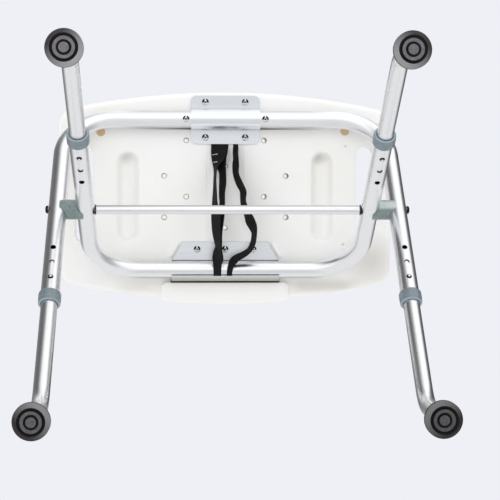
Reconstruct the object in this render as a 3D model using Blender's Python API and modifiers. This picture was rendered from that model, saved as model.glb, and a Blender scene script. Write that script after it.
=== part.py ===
"""Folding shower stool: a moulded seat on two crossed U frames of aluminium tube.

Metres, +Z up. The stool stands open on the floor, with the origin on the floor under the middle
of its box. The outer frame's cross tube is towards +Y and its feet towards -Y, the inner frame's
the other way round. The seat turns on the outer cross tube and hooks over the inner one.
"""

import collections
import math

import bmesh
import bpy
from mathutils import Matrix, Vector

# Frames
TUBE_OD = 0.0254
TUBE_WALL = 0.0012
PIVOT_HEIGHT = 0.364
TUBE_RISE = 0.121
OUTER_TUBE_OFFSET = 0.133
INNER_TUBE_OFFSET = 0.090
OUTER_HALF_WIDTH = 0.240
FRAME_STEP = 0.0395
INNER_HALF_WIDTH = OUTER_HALF_WIDTH - FRAME_STEP
LEG_SPLAY = 0.020
FRAME_BEND_RADIUS = 0.076
FRAME_LEG_LENGTH = 0.1685

# Lower legs, measured from the pivot down the leg
LOWER_OD = 0.0222
LOWER_WALL = 0.0012
OUTER_LOWER_BEND = 0.337
INNER_LOWER_BEND = 0.3245
LOWER_BEND_RADIUS = 0.060

# Height adjustment
HOLE_DISTANCE = FRAME_LEG_LENGTH - 0.0365
LOWER_TOP = HOLE_DISTANCE - 0.039
HOLE_PITCH = 0.026
HOLE_COUNT = 3
HOLE_RADIUS = 0.0038
BUTTON_RADIUS = 0.0034
BUTTON_PROUD = 0.0020
BUTTON_BASE_RADIUS = 0.0046
BUTTON_BASE = 0.0008
SPRING_THICKNESS = 0.0005
SPRING_HALF_WIDTH = 0.003
SPRING_LENGTH = 0.026
SPRING_TAIL = 0.010

# Collars
COLLAR_LENGTH = 0.018
COLLAR_RADIUS = 0.0153
COLLAR_LIP = 0.0022
COLLAR_CHAMFER = 0.0012

# Feet
FOOT_RADIUS = 0.0231
FOOT_HEIGHT = 0.036
FOOT_BASE_HEIGHT = 0.015
FOOT_NECK_RADIUS = 0.0158
FOOT_NECK_HEIGHT = 0.027
FOOT_SOLE = 0.009
FOOT_CHAMFER = 0.0040
GROOVE_DEPTH = 0.002
GROOVES = ((0.0172, 0.0145), (0.0092, 0.0068))

# Pivot
ROD_RADIUS = 0.00635
ROD_BORE_DEPTH = 0.020
BOLT_RADIUS = 0.0030
BOLT_HEAD_RADIUS = 0.0056
BOLT_HEAD = 0.0042
BOLT_IN_ROD = 0.016
WASHER_RADIUS = 0.0075
WASHER = 0.0012
SADDLE_RADIUS = 0.0140
SADDLE_GRIP = 0.0090

# Seat
SEAT_LENGTH = 0.497
SEAT_DEPTH = 0.3115
SEAT_SHIFT = 0.0030
SEAT_THICKNESS = 0.028
SEAT_EDGE_ARC = 1.10
SEAT_CORNER = 0.025
SEAT_EDGE_RADIUS = 0.008
FRONT_BUMP = 0.0048
FRONT_BUMP_HALF = (0.080, 0.102)
SLOT_LENGTH = 0.1445
SLOT_WIDTH = 0.027
SLOT_SHIFT = 0.0030
SLOT_OFFSET = SEAT_LENGTH / 2 - 0.0390
POCKET_LENGTH = 0.133
POCKET_WIDTH = 0.031
POCKET_OFFSET = SLOT_OFFSET - 0.0650
POCKET_DEPTH = 0.022
SEAT_WALL = 0.003
CAVITY_INSET = 0.0055
SCREW_BOSS_RADIUS = 0.005
VENT_RADIUS = 0.0015
VENTS = ((-0.1804, 0.0764), (-0.177, -0.072))
STRAP_GROOVE_HALF = 0.028
STRAP_GROOVE_DEPTH = 0.0021
DRAIN_RADIUS = 0.0035
DRAINS = ((0.0, 0.046), (0.0, -0.0465), (0.058, 0.084), (0.058, 0.0), (0.091, 0.031), (0.091, -0.031))

# Brackets and screws
SHEET = 0.002
HINGE_HALF_LENGTH = 0.0512
HINGE_FLANGE = 0.036
HINGE_CORNER = 0.008
HINGE_FILLET = 0.0025
HINGE_SCREW_X = 0.0297
HINGE_SCREW_Y = 0.0263
CATCH_REACH = 0.041
CATCH_TOP_HALF = 0.0642
CATCH_HALF_LENGTH = 0.080
CATCH_SCREW_Y = 0.030
CATCH_SCREW_X = 0.0419
HOOK_SHIFT = 0.002
HOOK_END_DEG = 242.0
SCREW_RADIUS = 0.002
SCREW_HEAD_RADIUS = 0.0050
SCREW_HEAD = 0.0026
SCREW_LENGTH = 0.014
STOP_SCREW_LENGTH = 0.008
STOP_SCREW_CLEAR = 0.0015

# Strap
STRAP_WIDTH = 0.024
STRAP_THICKNESS = 0.0008

# Clearances
GAP = 0.0003
SLIDE_GAP = 0.0004

# The collar's lip closes the end of the frame tube
COLLAR_DISTANCE = FRAME_LEG_LENGTH + GAP + COLLAR_LIP - COLLAR_LENGTH

# Facets
FRAME_SIDES = 16
LOWER_SIDES = 16
BEND_STEPS = 5
TURN_STEPS = 20
SMALL_STEPS = 10
HOLE_STEPS = 8
OVERRUN = 0.004

Frame = collections.namedtuple("Frame", "name half_width offset bend")
OUTER = Frame("outer", OUTER_HALF_WIDTH, OUTER_TUBE_OFFSET, OUTER_LOWER_BEND)
INNER = Frame("inner", INNER_HALF_WIDTH, -INNER_TUBE_OFFSET, INNER_LOWER_BEND)
FRAMES = (OUTER, INNER)
SIDES = (("left", -1), ("right", 1))


# Layout


def tilt(frame):
    """The angle of a frame from the upright, positive where its cross tube leans to +Y."""
    return math.atan2(frame.offset, TUBE_RISE)


def arm(frame):
    return math.hypot(frame.offset, TUBE_RISE)


def foot_reach(frame):
    return frame.bend * math.sin(tilt(frame))


PIVOT = Vector((0, (foot_reach(OUTER) + foot_reach(INNER)) / 2, PIVOT_HEIGHT))
SEAT_UNDERSIDE = PIVOT_HEIGHT + TUBE_RISE + TUBE_OD / 2 + GAP
SEAT_MIDDLE_Y = PIVOT.y + (OUTER.offset + INNER.offset) / 2 - SEAT_SHIFT
SLOT_Y = SEAT_MIDDLE_Y + SLOT_SHIFT
RESTING_FACE = SEAT_UNDERSIDE + SEAT_THICKNESS


def cross_tube(frame):
    """The middle of a frame's cross tube."""
    return PIVOT + Vector((0, frame.offset, TUBE_RISE))


def leg_point(frame, side, distance):
    """The point on a leg's axis at this distance below the pivot."""
    lean = tilt(frame)
    x = side * (frame.half_width + LEG_SPLAY * distance)
    return PIVOT + Vector((x, -math.sin(lean) * distance, -math.cos(lean) * distance))


def leg_matrix(frame, side, distance):
    """Axes on a leg: Z up the leg, and Y square to it, out of its lower face."""
    lean = tilt(frame)
    up = (leg_point(frame, side, 0) - leg_point(frame, side, 1)).normalized()
    towards = 1 if frame.offset > 0 else -1
    out = Vector((0, towards * math.cos(lean), -towards * math.sin(lean)))
    across = out.cross(up)
    turn = Matrix((across, out, up)).transposed()
    return Matrix.Translation(leg_point(frame, side, distance)) @ turn.to_4x4()


# Tools


def make_collection(name):
    collection = bpy.data.collections.new(name)
    bpy.context.scene.collection.children.link(collection)
    return collection


def make_material(name, colour, roughness, metallic=0.0):
    material = bpy.data.materials.new(name)
    material.use_nodes = True
    shader = material.node_tree.nodes["Principled BSDF"]
    shader.inputs["Base Color"].default_value = (*colour, 1)
    shader.inputs["Roughness"].default_value = roughness
    shader.inputs["Metallic"].default_value = metallic
    return material


def take_mesh(source):
    """The evaluated mesh of a temporary object, welded, after which the object is removed."""
    depsgraph = bpy.context.evaluated_depsgraph_get()
    mesh = bpy.data.meshes.new_from_object(source.evaluated_get(depsgraph))
    mesh.transform(source.matrix_world)
    data = source.data
    bpy.data.objects.remove(source)
    if isinstance(data, bpy.types.Curve):
        bpy.data.curves.remove(data)
    else:
        bpy.data.meshes.remove(data)
    welded = bmesh.new()
    welded.from_mesh(mesh)
    bmesh.ops.remove_doubles(welded, verts=welded.verts, dist=0.00001)
    welded.to_mesh(mesh)
    welded.free()
    mesh.materials.clear()
    return mesh


def show(name, data):
    """Links data to the scene under a temporary object."""
    item = bpy.data.objects.new(name, data)
    bpy.context.scene.collection.objects.link(item)
    return item


def bar_mesh(points, radius, sides):
    """A round bar along a list of points."""
    curve = bpy.data.curves.new("bar", "CURVE")
    curve.dimensions = "3D"
    curve.bevel_depth = radius
    curve.bevel_resolution = sides // 2 - 2
    curve.use_fill_caps = True
    spline = curve.splines.new("POLY")
    spline.points.add(len(points) - 1)
    for point, place in zip(spline.points, points):
        point.co = (*place, 1)
    return take_mesh(show("bar", curve))


def slab_mesh(outline, low, high, edge_radius=0.0):
    """A flat outline in X and Y, filled from one height to another, with rounded edges if asked."""
    curve = bpy.data.curves.new("slab", "CURVE")
    curve.dimensions = "2D"
    curve.fill_mode = "BOTH"
    curve.extrude = (high - low) / 2 - edge_radius
    curve.bevel_depth = edge_radius
    curve.bevel_resolution = 1
    curve.offset = -edge_radius
    spline = curve.splines.new("POLY")
    spline.points.add(len(outline) - 1)
    for point, (x, y) in zip(spline.points, outline):
        point.co = (x, y, 0, 1)
    spline.use_cyclic_u = True
    item = show("slab", curve)
    item.location.z = (low + high) / 2
    bpy.context.view_layer.update()
    return take_mesh(item)


def turned_mesh(profile, steps, closed=False):
    """A profile of radius and height, turned about Z. Its outer side runs downwards."""
    mesh = bpy.data.meshes.new("turned")
    edges = [(i, i + 1) for i in range(len(profile) - 1)]
    if closed:
        edges.append((len(profile) - 1, 0))
    mesh.from_pydata([(radius, 0, height) for radius, height in profile], edges, [])
    item = show("turned", mesh)
    screw = item.modifiers.new("turn", "SCREW")
    screw.steps = steps
    screw.render_steps = steps
    screw.use_merge_vertices = True
    screw.merge_threshold = 0.00001
    return take_mesh(item)


def sheet_mesh(rows, thickness):
    """A bent sheet: rows of half width, Y and Z down its middle surface, made solid."""
    mesh = bpy.data.meshes.new("sheet")
    places = []
    for half, y, z in rows:
        places.append((-half, y, z))
        places.append((half, y, z))
    faces = [(2 * i, 2 * i + 1, 2 * i + 3, 2 * i + 2) for i in range(len(rows) - 1)]
    mesh.from_pydata(places, [], faces)
    item = show("sheet", mesh)
    solid = item.modifiers.new("thickness", "SOLIDIFY")
    solid.thickness = thickness
    solid.offset = 0
    solid.use_even_offset = True
    return take_mesh(item)


def rounded_path(corners, radius, steps):
    """The points of a path whose inner corners are arcs of one radius."""
    path = [corners[0]]
    for before, corner, after in zip(corners, corners[1:], corners[2:]):
        back = (before - corner).normalized()
        ahead = (after - corner).normalized()
        angle = back.angle(ahead)
        centre = corner + (back + ahead).normalized() * radius / math.sin(angle / 2)
        run = radius / math.tan(angle / 2)
        start = corner + back * run - centre
        end = corner + ahead * run - centre
        sweep = math.pi - angle
        for i in range(steps + 1):
            share = i / steps
            part = start * math.sin((1 - share) * sweep) + end * math.sin(share * sweep)
            path.append(centre + part / math.sin(sweep))
    path.append(corners[-1])
    return path


def stadium(length, width, steps=5):
    """An outline with round ends, its length along Y."""
    radius = width / 2
    middle = length / 2 - radius
    points = []
    for i in range(2 * steps + 2):
        angle = math.pi * (i - (i > steps)) / steps
        lift = middle if i <= steps else -middle
        points.append((radius * math.cos(angle), lift + radius * math.sin(angle)))
    return points


def shifted(outline, x, y):
    return [(x + a, y + b) for a, b in outline]


class Builder:
    """Makes the pieces and keeps their collections, materials and axes."""

    def __init__(self):
        self.parts = make_collection("folding_shower_stool")
        self.cutters = make_collection("cutters")
        self.materials = {
            "seat": make_material("white moulded plastic", (0.86, 0.85, 0.81), 0.45),
            "tube": make_material("satin aluminium", (0.78, 0.79, 0.81), 0.32, 1.0),
            "bracket": make_material("brushed aluminium", (0.66, 0.68, 0.71), 0.40, 1.0),
            "collar": make_material("blue grey plastic", (0.24, 0.30, 0.34), 0.45),
            "saddle": make_material("green grey plastic", (0.22, 0.27, 0.27), 0.60),
            "rubber": make_material("dark grey rubber", (0.065, 0.060, 0.065), 0.75),
            "steel": make_material("chromed steel", (0.62, 0.62, 0.63), 0.20, 1.0),
            "black": make_material("black plastic", (0.02, 0.02, 0.02), 0.50),
            "webbing": make_material("black webbing", (0.018, 0.018, 0.020), 0.85),
        }
        self.axes = {}

    def axis(self, name, place, parent=None):
        """An empty on a joint's axis."""
        empty = bpy.data.objects.new(name, None)
        empty.location = place
        empty.empty_display_size = 0.03
        self.parts.objects.link(empty)
        bpy.context.view_layer.update()
        if parent:
            empty.parent = self.axes[parent]
            empty.matrix_parent_inverse = self.axes[parent].matrix_world.inverted()
        bpy.context.view_layer.update()
        self.axes[name] = empty

    def piece(self, name, mesh, material, axis, place=None):
        """Adds a piece whose mesh is in world space, or in the axes that place gives."""
        mesh.name = name
        mesh.shade_smooth()
        mesh.set_sharp_from_angle(angle=math.radians(35))
        mesh.materials.append(self.materials[material])
        item = bpy.data.objects.new(name, mesh)
        self.parts.objects.link(item)
        parent = self.axes[axis]
        origin = parent.matrix_world.translation
        if place is None:
            mesh.transform(Matrix.Translation(-origin))
            place = Matrix.Translation(origin)
        item.parent = parent
        item.matrix_parent_inverse = parent.matrix_world.inverted()
        item.matrix_world = place
        bpy.context.view_layer.update()
        return item

    def cut(self, piece, mesh, place=None):
        """Cuts a piece with a mesh in world space, or in the axes that place gives."""
        cutter = bpy.data.objects.new("cut_" + piece.name, mesh)
        cutter.matrix_world = place or Matrix.Identity(4)
        cutter.hide_render = True
        cutter.display_type = "WIRE"
        self.cutters.objects.link(cutter)
        modifier = piece.modifiers.new("cut", "BOOLEAN")
        modifier.operation = "DIFFERENCE"
        modifier.solver = "EXACT"
        modifier.object = cutter
        return cutter


def plain_pin(radius, low, high, steps=HOLE_STEPS):
    """A plain round pin about Z, as a cutter or a shaft."""
    return turned_mesh([(0, high), (radius, high), (radius, low), (0, low)], steps)


def pointing(place, direction):
    """Axes at a place, with Z along a direction."""
    turn = Vector(direction).to_track_quat("Z", "Y")
    return Matrix.Translation(place) @ turn.to_matrix().to_4x4()


# Frames


def frame_tube(builder, frame):
    """A U of tube with its adjustment holes and pivot holes."""
    ends = [leg_point(frame, side, FRAME_LEG_LENGTH) for _, side in SIDES]
    tops = [leg_point(frame, side, -arm(frame)) for _, side in SIDES]
    corners = [ends[0], tops[0], tops[1], ends[1]]
    past = [leg_point(frame, side, FRAME_LEG_LENGTH + OVERRUN) for _, side in SIDES]
    axis = "fold_axis" if frame is INNER else "outer_frame_axis"
    path = rounded_path(corners, FRAME_BEND_RADIUS, BEND_STEPS)
    tube = builder.piece(frame.name + "_frame_tube", bar_mesh(path, TUBE_OD / 2, FRAME_SIDES), "tube", axis)
    bore = rounded_path([past[0], tops[0], tops[1], past[1]], FRAME_BEND_RADIUS, BEND_STEPS)
    builder.cut(tube, bar_mesh(bore, TUBE_OD / 2 - TUBE_WALL, FRAME_SIDES))
    for _, side in SIDES:
        for hole in range(HOLE_COUNT):
            place = leg_matrix(frame, side, HOLE_DISTANCE - hole * HOLE_PITCH)
            pin = plain_pin(HOLE_RADIUS, TUBE_OD / 4, TUBE_OD, SMALL_STEPS)
            builder.cut(tube, pin, place @ Matrix.Rotation(-math.pi / 2, 4, "X"))
        place = pointing(leg_point(frame, side, 0), (1, 0, 0))
        builder.cut(tube, plain_pin(BOLT_RADIUS + 2 * GAP, -TUBE_OD, TUBE_OD), place)
    return tube


def lower_leg(builder, frame, label, side):
    """The telescoping tube, bent so that its foot stands upright."""
    name = f"{frame.name}_{label}"
    top = leg_point(frame, side, LOWER_TOP)
    bend = leg_point(frame, side, frame.bend)
    corners = [top, bend, Vector((bend.x, bend.y, FOOT_SOLE + GAP))]
    path = rounded_path(corners, LOWER_BEND_RADIUS, BEND_STEPS)
    radius = LOWER_OD / 2
    tube = builder.piece(name + "_lower_leg", bar_mesh(path, radius, LOWER_SIDES), "tube", name + "_slide")
    corners[0] = leg_point(frame, side, LOWER_TOP - OVERRUN)
    corners[2] = corners[2] - Vector((0, 0, OVERRUN))
    bore = rounded_path(corners, LOWER_BEND_RADIUS, BEND_STEPS)
    builder.cut(tube, bar_mesh(bore, radius - LOWER_WALL, LOWER_SIDES))
    place = leg_matrix(frame, side, HOLE_DISTANCE) @ Matrix.Rotation(-math.pi / 2, 4, "X")
    builder.cut(tube, plain_pin(HOLE_RADIUS, LOWER_OD / 4, LOWER_OD, SMALL_STEPS), place)


def collar(builder, frame, label, side):
    """The plastic ring that closes the frame tube round the lower leg."""
    inner = LOWER_OD / 2 + SLIDE_GAP
    bore = TUBE_OD / 2 + GAP
    profile = [
        (bore, COLLAR_LENGTH),
        (COLLAR_RADIUS - COLLAR_CHAMFER, COLLAR_LENGTH),
        (COLLAR_RADIUS, COLLAR_LENGTH - COLLAR_CHAMFER),
        (COLLAR_RADIUS, COLLAR_CHAMFER),
        (COLLAR_RADIUS - COLLAR_CHAMFER, 0),
        (inner, 0),
        (inner, COLLAR_LIP),
        (bore, COLLAR_LIP),
    ]
    mesh = turned_mesh(profile, TURN_STEPS, closed=True)
    axis = "fold_axis" if frame is INNER else "outer_frame_axis"
    place = leg_matrix(frame, side, COLLAR_DISTANCE + COLLAR_LENGTH)
    builder.piece(f"{frame.name}_{label}_leg_collar", mesh, "collar", axis, place)


def rubber_foot(builder, frame, label, side):
    """The foot: a cup for the leg, with rings moulded in its sole."""
    bore = LOWER_OD / 2 + GAP
    profile = [
        (0, FOOT_SOLE),
        (bore, FOOT_SOLE),
        (bore, FOOT_HEIGHT),
        (FOOT_NECK_RADIUS, FOOT_HEIGHT),
        (FOOT_NECK_RADIUS, FOOT_NECK_HEIGHT),
        (FOOT_RADIUS, FOOT_BASE_HEIGHT),
        (FOOT_RADIUS, FOOT_CHAMFER),
        (FOOT_RADIUS - FOOT_CHAMFER, 0),
    ]
    for outside, inside in GROOVES:
        profile.append((outside, 0))
        profile.append((outside, GROOVE_DEPTH))
        profile.append((inside, GROOVE_DEPTH))
        profile.append((inside, 0))
    profile.append((0, 0))
    bend = leg_point(frame, side, frame.bend)
    name = f"{frame.name}_{label}"
    place = Matrix.Translation((bend.x, bend.y, 0))
    builder.piece(name + "_foot", turned_mesh(profile, TURN_STEPS), "rubber", name + "_slide", place)


def snap_button(builder, frame, label, side):
    """The domed button that locks the leg's length. Its base lies inside the lower leg."""
    wide = BUTTON_BASE_RADIUS + GAP
    base_top = math.sqrt((LOWER_OD / 2 - LOWER_WALL) ** 2 - wide**2) - GAP
    top = TUBE_OD / 2 + BUTTON_PROUD
    shoulder = top - BUTTON_RADIUS * 0.35
    profile = [
        (0, top),
        (BUTTON_RADIUS * 0.55, top - BUTTON_RADIUS * 0.08),
        (BUTTON_RADIUS * 0.88, top - BUTTON_RADIUS * 0.20),
        (BUTTON_RADIUS, shoulder),
        (BUTTON_RADIUS, base_top),
        (BUTTON_BASE_RADIUS, base_top),
        (BUTTON_BASE_RADIUS, base_top - BUTTON_BASE),
        (0, base_top - BUTTON_BASE),
    ]
    name = f"{frame.name}_{label}"
    place = leg_matrix(frame, side, HOLE_DISTANCE) @ Matrix.Rotation(-math.pi / 2, 4, "X")
    mesh = turned_mesh(profile, SMALL_STEPS)
    builder.piece(name + "_snap_button", mesh, "steel", name + "_press", place)
    return base_top - BUTTON_BASE


def button_spring(builder, frame, label, side, behind):
    """The V of spring strip inside the lower leg that pushes the button out."""
    half = SPRING_THICKNESS / 2
    near = behind - GAP - half
    far = -math.sqrt((LOWER_OD / 2 - LOWER_WALL) ** 2 - SPRING_HALF_WIDTH**2) + GAP + half
    low = -SPRING_TAIL
    knee = SPRING_LENGTH * 0.85
    rows = [
        (SPRING_HALF_WIDTH, near, low),
        (SPRING_HALF_WIDTH, near, BUTTON_BASE_RADIUS),
        (SPRING_HALF_WIDTH, near * 0.30, knee),
        (SPRING_HALF_WIDTH, 0, SPRING_LENGTH),
        (SPRING_HALF_WIDTH, far * 0.30, knee),
        (SPRING_HALF_WIDTH, far, BUTTON_BASE_RADIUS),
        (SPRING_HALF_WIDTH, far, low),
    ]
    name = f"{frame.name}_{label}"
    mesh = sheet_mesh(rows, SPRING_THICKNESS)
    place = leg_matrix(frame, side, HOLE_DISTANCE)
    builder.piece(name + "_button_spring", mesh, "steel", name + "_slide", place)


# Pivot


def pivot_rod(builder):
    """The rod between the inner frame's legs, bored at its ends for the bolts."""
    half = INNER.half_width - TUBE_OD / 2 - WASHER - 2 * GAP
    profile = [
        (0, half - ROD_BORE_DEPTH),
        (BOLT_RADIUS + GAP, half - ROD_BORE_DEPTH),
        (BOLT_RADIUS + GAP, half),
        (ROD_RADIUS, half),
        (ROD_RADIUS, -half),
        (BOLT_RADIUS + GAP, -half),
        (BOLT_RADIUS + GAP, ROD_BORE_DEPTH - half),
        (0, ROD_BORE_DEPTH - half),
    ]
    mesh = turned_mesh(profile, TURN_STEPS)
    builder.piece("pivot_rod", mesh, "tube", "fold_axis", pointing(PIVOT, (1, 0, 0)))


def pivot_hardware(builder, label, side):
    """The bolt, the black washer and the two saddle washers on one side of the pivot."""
    outward = (side, 0, 0)
    head = OUTER.half_width + TUBE_OD / 2 + GAP
    tip = INNER.half_width - TUBE_OD / 2 - WASHER - 2 * GAP - BOLT_IN_ROD
    chamfer = BOLT_HEAD * 0.25
    profile = [
        (0, head + BOLT_HEAD),
        (BOLT_HEAD_RADIUS - chamfer, head + BOLT_HEAD),
        (BOLT_HEAD_RADIUS, head + BOLT_HEAD - chamfer),
        (BOLT_HEAD_RADIUS, head),
        (BOLT_RADIUS, head),
        (BOLT_RADIUS, tip),
        (0, tip),
    ]
    place = pointing(PIVOT, outward)
    mesh = turned_mesh(profile, SMALL_STEPS)
    builder.piece(label + "_pivot_bolt", mesh, "steel", "fold_axis", place)

    face = INNER.half_width - TUBE_OD / 2 - GAP
    hole = BOLT_RADIUS + GAP
    ring = [(hole, face), (WASHER_RADIUS, face), (WASHER_RADIUS, face - WASHER), (hole, face - WASHER)]
    mesh = turned_mesh(ring, TURN_STEPS, closed=True)
    builder.piece(label + "_rod_washer", mesh, "black", "fold_axis", place)

    middle = (OUTER.half_width + INNER.half_width) / 2
    for frame, away in ((OUTER, 1), (INNER, -1)):
        near = middle + away * GAP / 2
        far = frame.half_width - away * (TUBE_OD / 2 - SADDLE_GRIP)
        low, high = sorted((near, far))
        ring = [(hole, high), (SADDLE_RADIUS, high), (SADDLE_RADIUS, low), (hole, low)]
        axis = "fold_axis" if frame is INNER else "outer_frame_axis"
        mesh = turned_mesh(ring, TURN_STEPS, closed=True)
        saddle = builder.piece(f"{label}_{frame.name}_saddle", mesh, "saddle", axis, place)
        seat = plain_pin(TUBE_OD / 2 + GAP, -TUBE_OD, TUBE_OD, FRAME_SIDES)
        builder.cut(saddle, seat, leg_matrix(frame, side, 0))


# Seat


def edge_fall(x):
    """How far the seat's long edges have curved in at this distance from the middle."""
    return SEAT_EDGE_ARC - math.sqrt(SEAT_EDGE_ARC**2 - x**2)


def seat_outline(inset=0.0):
    """The barrel outline: two long arcs, straight ends, round corners and the bump at the front."""
    half = SEAT_LENGTH / 2 - inset
    depth = SEAT_DEPTH / 2 - inset
    reach = SEAT_LENGTH / 2 - 2 * SEAT_CORNER
    steps = 8
    back = [(reach * (1 - 2 * i / steps), 1) for i in range(steps + 1)]
    corner = depth - edge_fall(half)
    outline = []
    turns = [(half, -corner), (half, corner), (-half, corner), (-half, -corner)]
    before = {0: (reach, -1), 1: (half, 0), 2: (-reach, 1), 3: (-half, 0)}
    after = {0: (half, 0), 1: (reach, 1), 2: (-half, 0), 3: (-reach, -1)}

    def edge(x, sign):
        return Vector((x, sign * (depth - edge_fall(x)) if sign else 0, 0))

    def corner_arc(index):
        x, y = turns[index]
        path = [edge(*before[index]), Vector((x, y, 0)), edge(*after[index])]
        return [(p.x, p.y) for p in rounded_path(path, SEAT_CORNER - inset, 4)[1:-1]]

    outline += corner_arc(0)
    outline += corner_arc(1)
    outline += [(x, depth - edge_fall(x)) for x, _ in back]
    outline += corner_arc(2)
    outline += corner_arc(3)
    near, far = FRONT_BUMP_HALF
    front = [-reach, -(reach + far) / 2, -far, -near, -near / 2, 0, near / 2, near, far, (reach + far) / 2, reach]
    for x in front:
        bump = FRONT_BUMP if abs(x) <= near else 0
        outline.append((x, edge_fall(x) - depth - bump))
    return outline


def screw_mesh(length):
    """A pan head screw about Z, its head above the origin and its shank below."""
    profile = [
        (0, SCREW_HEAD),
        (SCREW_HEAD_RADIUS * 0.60, SCREW_HEAD * 0.92),
        (SCREW_HEAD_RADIUS * 0.92, SCREW_HEAD * 0.55),
        (SCREW_HEAD_RADIUS, 0),
        (SCREW_RADIUS, 0),
        (SCREW_RADIUS, SCREW_RADIUS - length),
        (0, -length),
    ]
    return turned_mesh(profile, SMALL_STEPS)


def screws(builder, name, places, length, axis):
    """Screws with their heads down, numbered from 1."""
    for number, spot in enumerate(places, 1):
        builder.piece(f"{name}_{number}", screw_mesh(length), "steel", axis, pointing(spot, (0, 0, -1)))


def hinge_screw_places():
    """Under the hinge bracket's flanges, heads down."""
    centre = cross_tube(OUTER)
    height = SEAT_UNDERSIDE - SHEET - 2 * GAP
    places = []
    for x in (-HINGE_SCREW_X, HINGE_SCREW_X):
        for y in (-HINGE_SCREW_Y, HINGE_SCREW_Y):
            places.append(Vector((x, centre.y + y, height)))
    return places


def catch_screw_places():
    """Under the catch bracket's flange, which is flush with the seat."""
    y = cross_tube(INNER).y + CATCH_SCREW_Y
    height = SEAT_UNDERSIDE - GAP
    return [Vector((x, y, height)) for x in (-CATCH_SCREW_X, 0, CATCH_SCREW_X)]


def catch_pocket():
    """The outline of the seat's pocket for the catch bracket, a little larger than its flange."""
    y = cross_tube(INNER).y
    front = y - HOOK_SHIFT - TUBE_OD / 2 - SHEET - 2 * GAP
    shoulder = y + TUBE_OD / 2
    back = y + CATCH_REACH + GAP
    long_half = CATCH_HALF_LENGTH + GAP
    short_half = CATCH_TOP_HALF + GAP
    right = [(long_half, front), (long_half, shoulder), (short_half, back)]
    return right + [(-x, yy) for x, yy in reversed(right)]


def drain_places():
    places = []
    for x, y in DRAINS:
        for side in (-1, 1) if x else (1,):
            places.append((side * x, SEAT_MIDDLE_Y + y))
    return places


def hollow_out(builder, piece):
    """Hollows the blow-moulded seat, with a wall left round everything that crosses the hollow."""
    outline = shifted(seat_outline(CAVITY_INSET), 0, SEAT_MIDDLE_Y)
    low = SEAT_UNDERSIDE + SHEET + GAP + SEAT_WALL
    high = RESTING_FACE - SEAT_WALL
    hollow = builder.cut(piece, slab_mesh(outline, low, high))
    low -= OVERRUN
    high += OVERRUN
    wider = 2 * SEAT_WALL
    slot = stadium(SLOT_LENGTH + wider, SLOT_WIDTH + wider)
    pocket = stadium(POCKET_LENGTH + wider, POCKET_WIDTH + wider)
    for side in (-1, 1):
        for form, offset, y in ((slot, SLOT_OFFSET, SLOT_Y), (pocket, POCKET_OFFSET, SEAT_MIDDLE_Y)):
            builder.cut(hollow, slab_mesh(shifted(form, side * offset, y), low, high))
    for x, y in drain_places():
        boss = plain_pin(DRAIN_RADIUS + SEAT_WALL, low, high)
        builder.cut(hollow, boss, Matrix.Translation((x, y, 0)))
    for place in hinge_screw_places() + catch_screw_places():
        boss = plain_pin(SCREW_BOSS_RADIUS, low, high)
        builder.cut(hollow, boss, Matrix.Translation((place.x, place.y, 0)))


def seat(builder):
    """The blow-moulded seat: a hollow panel with hand slots, pockets, drain holes and pilot holes."""
    outline = shifted(seat_outline(), 0, SEAT_MIDDLE_Y)
    panel = slab_mesh(outline, SEAT_UNDERSIDE, RESTING_FACE, SEAT_EDGE_RADIUS)
    piece = builder.piece("seat", panel, "seat", "seat_axis")
    hollow_out(builder, piece)
    below = SEAT_UNDERSIDE - OVERRUN
    above = RESTING_FACE + OVERRUN
    for side in (-1, 1):
        slot = shifted(stadium(SLOT_LENGTH, SLOT_WIDTH), side * SLOT_OFFSET, SLOT_Y)
        builder.cut(piece, slab_mesh(slot, below, above))
        pocket = shifted(stadium(POCKET_LENGTH, POCKET_WIDTH), side * POCKET_OFFSET, SEAT_MIDDLE_Y)
        builder.cut(piece, slab_mesh(pocket, below, SEAT_UNDERSIDE + POCKET_DEPTH))
    pocket_top = SEAT_UNDERSIDE + SHEET + GAP
    builder.cut(piece, slab_mesh(catch_pocket(), below, pocket_top))
    half = STRAP_GROOVE_HALF
    start = cross_tube(INNER).y + CATCH_REACH + 2 * GAP + SHEET
    end = cross_tube(OUTER).y - TUBE_OD / 2
    groove = [(-half, start), (half, start), (half, end), (-half, end)]
    builder.cut(piece, slab_mesh(groove, below, SEAT_UNDERSIDE + STRAP_GROOVE_DEPTH))
    for x, y in drain_places():
        builder.cut(piece, plain_pin(DRAIN_RADIUS, below, above), Matrix.Translation((x, y, 0)))
    for x, y in VENTS:
        pin = plain_pin(VENT_RADIUS, below, RESTING_FACE - SEAT_THICKNESS / 2)
        builder.cut(piece, pin, Matrix.Translation((x, SEAT_MIDDLE_Y + y, 0)))
    for place in hinge_screw_places() + catch_screw_places():
        top = place.z + SCREW_LENGTH + GAP
        pin = plain_pin(SCREW_RADIUS + GAP, below, top)
        builder.cut(piece, pin, Matrix.Translation((place.x, place.y, 0)))


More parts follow.
